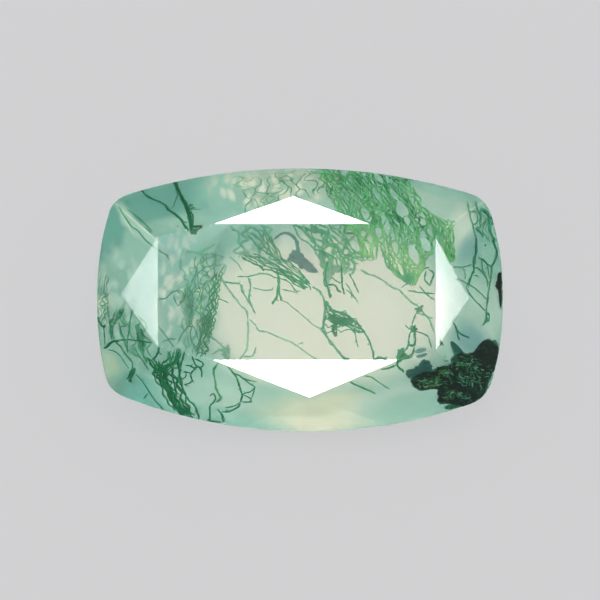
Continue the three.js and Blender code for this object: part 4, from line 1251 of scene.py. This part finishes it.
class AGATE_OT_lumps(bpy.types.Operator):
    """Grow the solid moss: the dark mass with its pale curls of painted glints, the blurred blots and the
    thin films
    """

    bl_idname = "agate.lumps"
    bl_label = "Lumps"

    def execute(self, context):
        settings = context.scene.agate_moss
        mass = Moss(seed=23)
        mass.lump(DARK_MASS, MASS_MIDDLE, 0.04, 0.3, 0.03, 0.44, 0.0, frill=0.05, grain=0.22,
                  spokes=260, rings=60)
        mass.lump(DARK_RIM, (8.33, 0.5), 0.05, 0.3, 0.04, 0.4, 0.0, frill=0.03, grain=0.15,
                  spokes=72, rings=12)
        black = moss_material("moss_dark_mass", settings, ("black", "black", "dark", "deep"))
        mass.piece("moss_dark_mass", black)
        # Painted glints: pale curls for light sparkling off the dark mass.
        curls = Moss(seed=31, sides=5)
        curls.strokes(GLINT_CURLS, 0.02)
        curls.piece("moss_glint_curls", moss_material("moss_glint_curls", settings, ("black", "dark", "curls", "lichen")))
        blots = Moss(seed=27)
        fringe = np.add(MASS_MIDDLE, np.subtract(DARK_MASS, MASS_MIDDLE) * 1.03)
        blots.lump(fringe, MASS_MIDDLE, 0.2, 0.3, 0.1, 0.35, 0.3, frill=0.05, grain=0.3,
                   spokes=160, rings=24)
        blots.lump(DARK_SPIKE, (6.55, -2.2), 0.25, 0.4, 0.05, 0.25, 0.5)
        blots.lump(DARK_ARM, (4.95, -2.85), 0.3, 0.4, 0.2, 0.25, 0.75, frill=0.05, grain=0.2,
                   spokes=90, rings=14)
        blots.lump(oval((6.45, -2.5), (0.2, 0.2), 0), (6.45, -2.5), 0.35, 0.3, 0.1, 0.2, 0.6,
                   spokes=30, rings=10)
        blots.lump(oval((5.0, -2.1), (0.25, 0.1), 15), (5.0, -2.1), 0.9, 0.2, 0.1, 0.4, 0.8,
                   spokes=24, rings=8)
        blots.lump(BLUE_BLOT, (0.1, 1.6), 0.85, 0.3, 0.2, 0.4, 1.0, frill=0.05, grain=0.25,
                   spokes=90, rings=12)
        blots.thread(BLUE_TAIL, 0.85, (0.09, 0.14, 0.2), 0.45, 0.8)
        blots.piece("moss_blots", moss_material("moss_blots", settings, ("black", "dark", "middle", "deep")))
        soft = Moss(seed=29)
        for depth, tone, cool, middle, outline in FILMS:
            soft.lump(outline, middle, depth, 0.06, 0.2, tone, cool, frill=0.06, grain=0.15, mottle=0.18,
                      spokes=72, rings=12)
        soft.piece("moss_films", moss_material("moss_films", settings))
        return {"FINISHED"}


class AGATE_OT_stage(bpy.types.Operator):
    """Set up the pale floor, the soft light, the lamps that the star facets mirror and the camera"""

    bl_idname = "agate.stage"
    bl_label = "Stage"

    def execute(self, context):
        settings = context.scene.agate_stage
        scene = context.scene
        mesh = bpy.data.meshes.new("floor")
        half = FLOOR_SIZE / 2
        mesh.from_pydata([(-half, -half, 0), (half, -half, 0), (half, half, 0), (-half, half, 0)], [],
                         [(0, 1, 2, 3)])
        floor = bpy.data.objects.new("floor", mesh)
        floor.location.z = -FLOOR_GAP
        scene.collection.objects.link(floor)
        material = bpy.data.materials.new("floor")
        material.use_nodes = True
        shader = material.node_tree.nodes["Principled BSDF"]
        shader.inputs["Base Color"].default_value = opaque(settings.floor_colour)
        shader.inputs["Roughness"].default_value = 0.9
        shader.inputs["Specular IOR Level"].default_value = 0.0
        shader.inputs["Emission Color"].default_value = opaque((1.0, 1.0, 1.015))
        glow = self.dimmed(material.node_tree, settings.floor_glow, settings.mirrored)
        material.node_tree.links.new(glow, shader.inputs["Emission Strength"])
        mesh.materials.append(material)
        self.light_room(scene, settings)
        self.place_lamps(scene, settings)
        self.place_camera(scene, settings)
        scene.view_settings.view_transform = "Standard"
        scene.cycles.max_bounces = 24
        scene.cycles.transmission_bounces = 16
        scene.cycles.volume_bounces = 8
        scene.cycles.diffuse_bounces = 4
        return {"FINISHED"}

    def dimmed(self, tree, strength, share):
        """A strength, or that share of it where it is seen mirrored in a surface, as a socket."""
        path = node(tree, "ShaderNodeLightPath")
        mirrored = node(tree, "ShaderNodeMath", {
            0: path.outputs["Is Glossy Ray"], 1: path.outputs["Is Reflection Ray"]}, operation="MULTIPLY")
        return node(tree, "ShaderNodeMapRange", {
            "Value": mirrored.outputs[0], "To Min": strength, "To Max": strength * share}).outputs[0]

    def light_room(self, scene, settings):
        """White light from all round, dim where the polish mirrors it and as grey as the floor behind it."""
        world = bpy.data.worlds.new("room")
        scene.world = world
        world.use_nodes = True
        tree = world.node_tree
        path = node(tree, "ShaderNodeLightPath")
        background = settings.light * settings.floor_colour[1] + settings.floor_glow
        shown = node(tree, "ShaderNodeMapRange", {
            "Value": path.outputs["Is Camera Ray"],
            "To Min": self.dimmed(tree, settings.light, settings.mirrored), "To Max": background})
        tree.links.new(shown.outputs[0], tree.nodes["Background"].inputs["Strength"])
        tree.nodes["Background"].inputs["Color"].default_value = (1, 1, 1, 1)

    def place_lamps(self, scene, settings):
        """One round lamp for each star facet, where the camera sees it mirrored, and seen only in the polish.

        A star facet is the largest that leans from the table to its side, by 10 to 22 degrees. The lamp
        stands along the mirrored line of sight, which is twice the normal times its part towards the camera,
        less the line itself.
        """
        facing = SHAPE.normals[:, 2]
        stars = (facing > STAR_FACING[0]) & (facing < STAR_FACING[1])
        leaning = SHAPE.normals[stars][np.argsort(-SHAPE.areas[stars])]
        _, first = np.unique(np.round(leaning[:, :2] * 4), axis=0, return_index=True)
        for number, normal in enumerate(leaning[first]):
            heading = (2 * normal[2] * normal - np.array([0, 0, 1])) @ SHAPE.axes
            light = bpy.data.lights.new("lamp_%d" % (number + 1), "AREA")
            light.shape = "DISK"
            light.size = settings.lamp_size
            light.energy = LAMP_RADIANCE * math.pi * math.pi * (settings.lamp_size / 2) ** 2
            lamp = bpy.data.objects.new(light.name, light)
            slide = -settings.lamp_slide * round(normal[0] * 4)
            lamp.location = SHAPE.placed(np.zeros(3)) + heading * LAMP_DISTANCE + SHAPE.along * slide
            lamp.rotation_euler = Vector(heading).to_track_quat("Z", "Y").to_euler()
            lamp.visible_camera = False
            lamp.visible_diffuse = False
            lamp.visible_transmission = False
            lamp.visible_volume_scatter = False
            scene.collection.objects.link(lamp)

    def place_camera(self, scene, settings):
        """The camera looks square on to the table, from as far as makes the stone as long as in the photo."""
        data = bpy.data.cameras.new("camera")
        data.lens = settings.focal_length
        data.clip_start = 0.001
        width_seen = STONE_LENGTH * PICTURE_WIDTH / LENGTH_IN_PIXELS
        distance = settings.focal_length / data.sensor_width * width_seen
        camera = bpy.data.objects.new("camera", data)
        camera.location = SHAPE.placed(np.array([0, 0, distance - GIRDLE_DEPTH]))
        camera.rotation_euler = Matrix(SHAPE.axes.tolist()).transposed().to_euler()
        scene.collection.objects.link(camera)
        scene.camera = camera


OPERATORS = [AGATE_OT_stone, AGATE_OT_branches, AGATE_OT_mat, AGATE_OT_nets, AGATE_OT_lumps, AGATE_OT_stage]


class AGATE_PT_panel(bpy.types.Panel):
    """The buttons that make the pieces, and the settings they use"""

    bl_idname = "AGATE_PT_panel"
    bl_label = "Moss Agate"
    bl_space_type = "VIEW_3D"
    bl_region_type = "UI"
    bl_category = "Moss Agate"

    def draw(self, context):
        layout = self.layout
        for operator in OPERATORS:
            layout.operator(operator.bl_idname)
        for group in (context.scene.agate_stone, context.scene.agate_moss, context.scene.agate_stage):
            box = layout.box()
            for key in group.bl_rna.properties.keys():
                if key not in ("rna_type", "name"):
                    box.prop(group, key)


CLASSES = [StoneSettings, MossSettings, StageSettings, *OPERATORS, AGATE_PT_panel]


def register():
    for cls in CLASSES:
        bpy.utils.register_class(cls)
    bpy.types.Scene.agate_stone = bpy.props.PointerProperty(type=StoneSettings)
    bpy.types.Scene.agate_moss = bpy.props.PointerProperty(type=MossSettings)
    bpy.types.Scene.agate_stage = bpy.props.PointerProperty(type=StageSettings)


def unregister():
    del bpy.types.Scene.agate_stage
    del bpy.types.Scene.agate_moss
    del bpy.types.Scene.agate_stone
    for cls in reversed(CLASSES):
        bpy.utils.unregister_class(cls)


def main():
    register()
    bpy.ops.agate.stone()
    bpy.ops.agate.branches()
    bpy.ops.agate.mat()
    bpy.ops.agate.nets()
    bpy.ops.agate.lumps()
    bpy.ops.agate.stage()


if __name__ == "__main__":
    main()
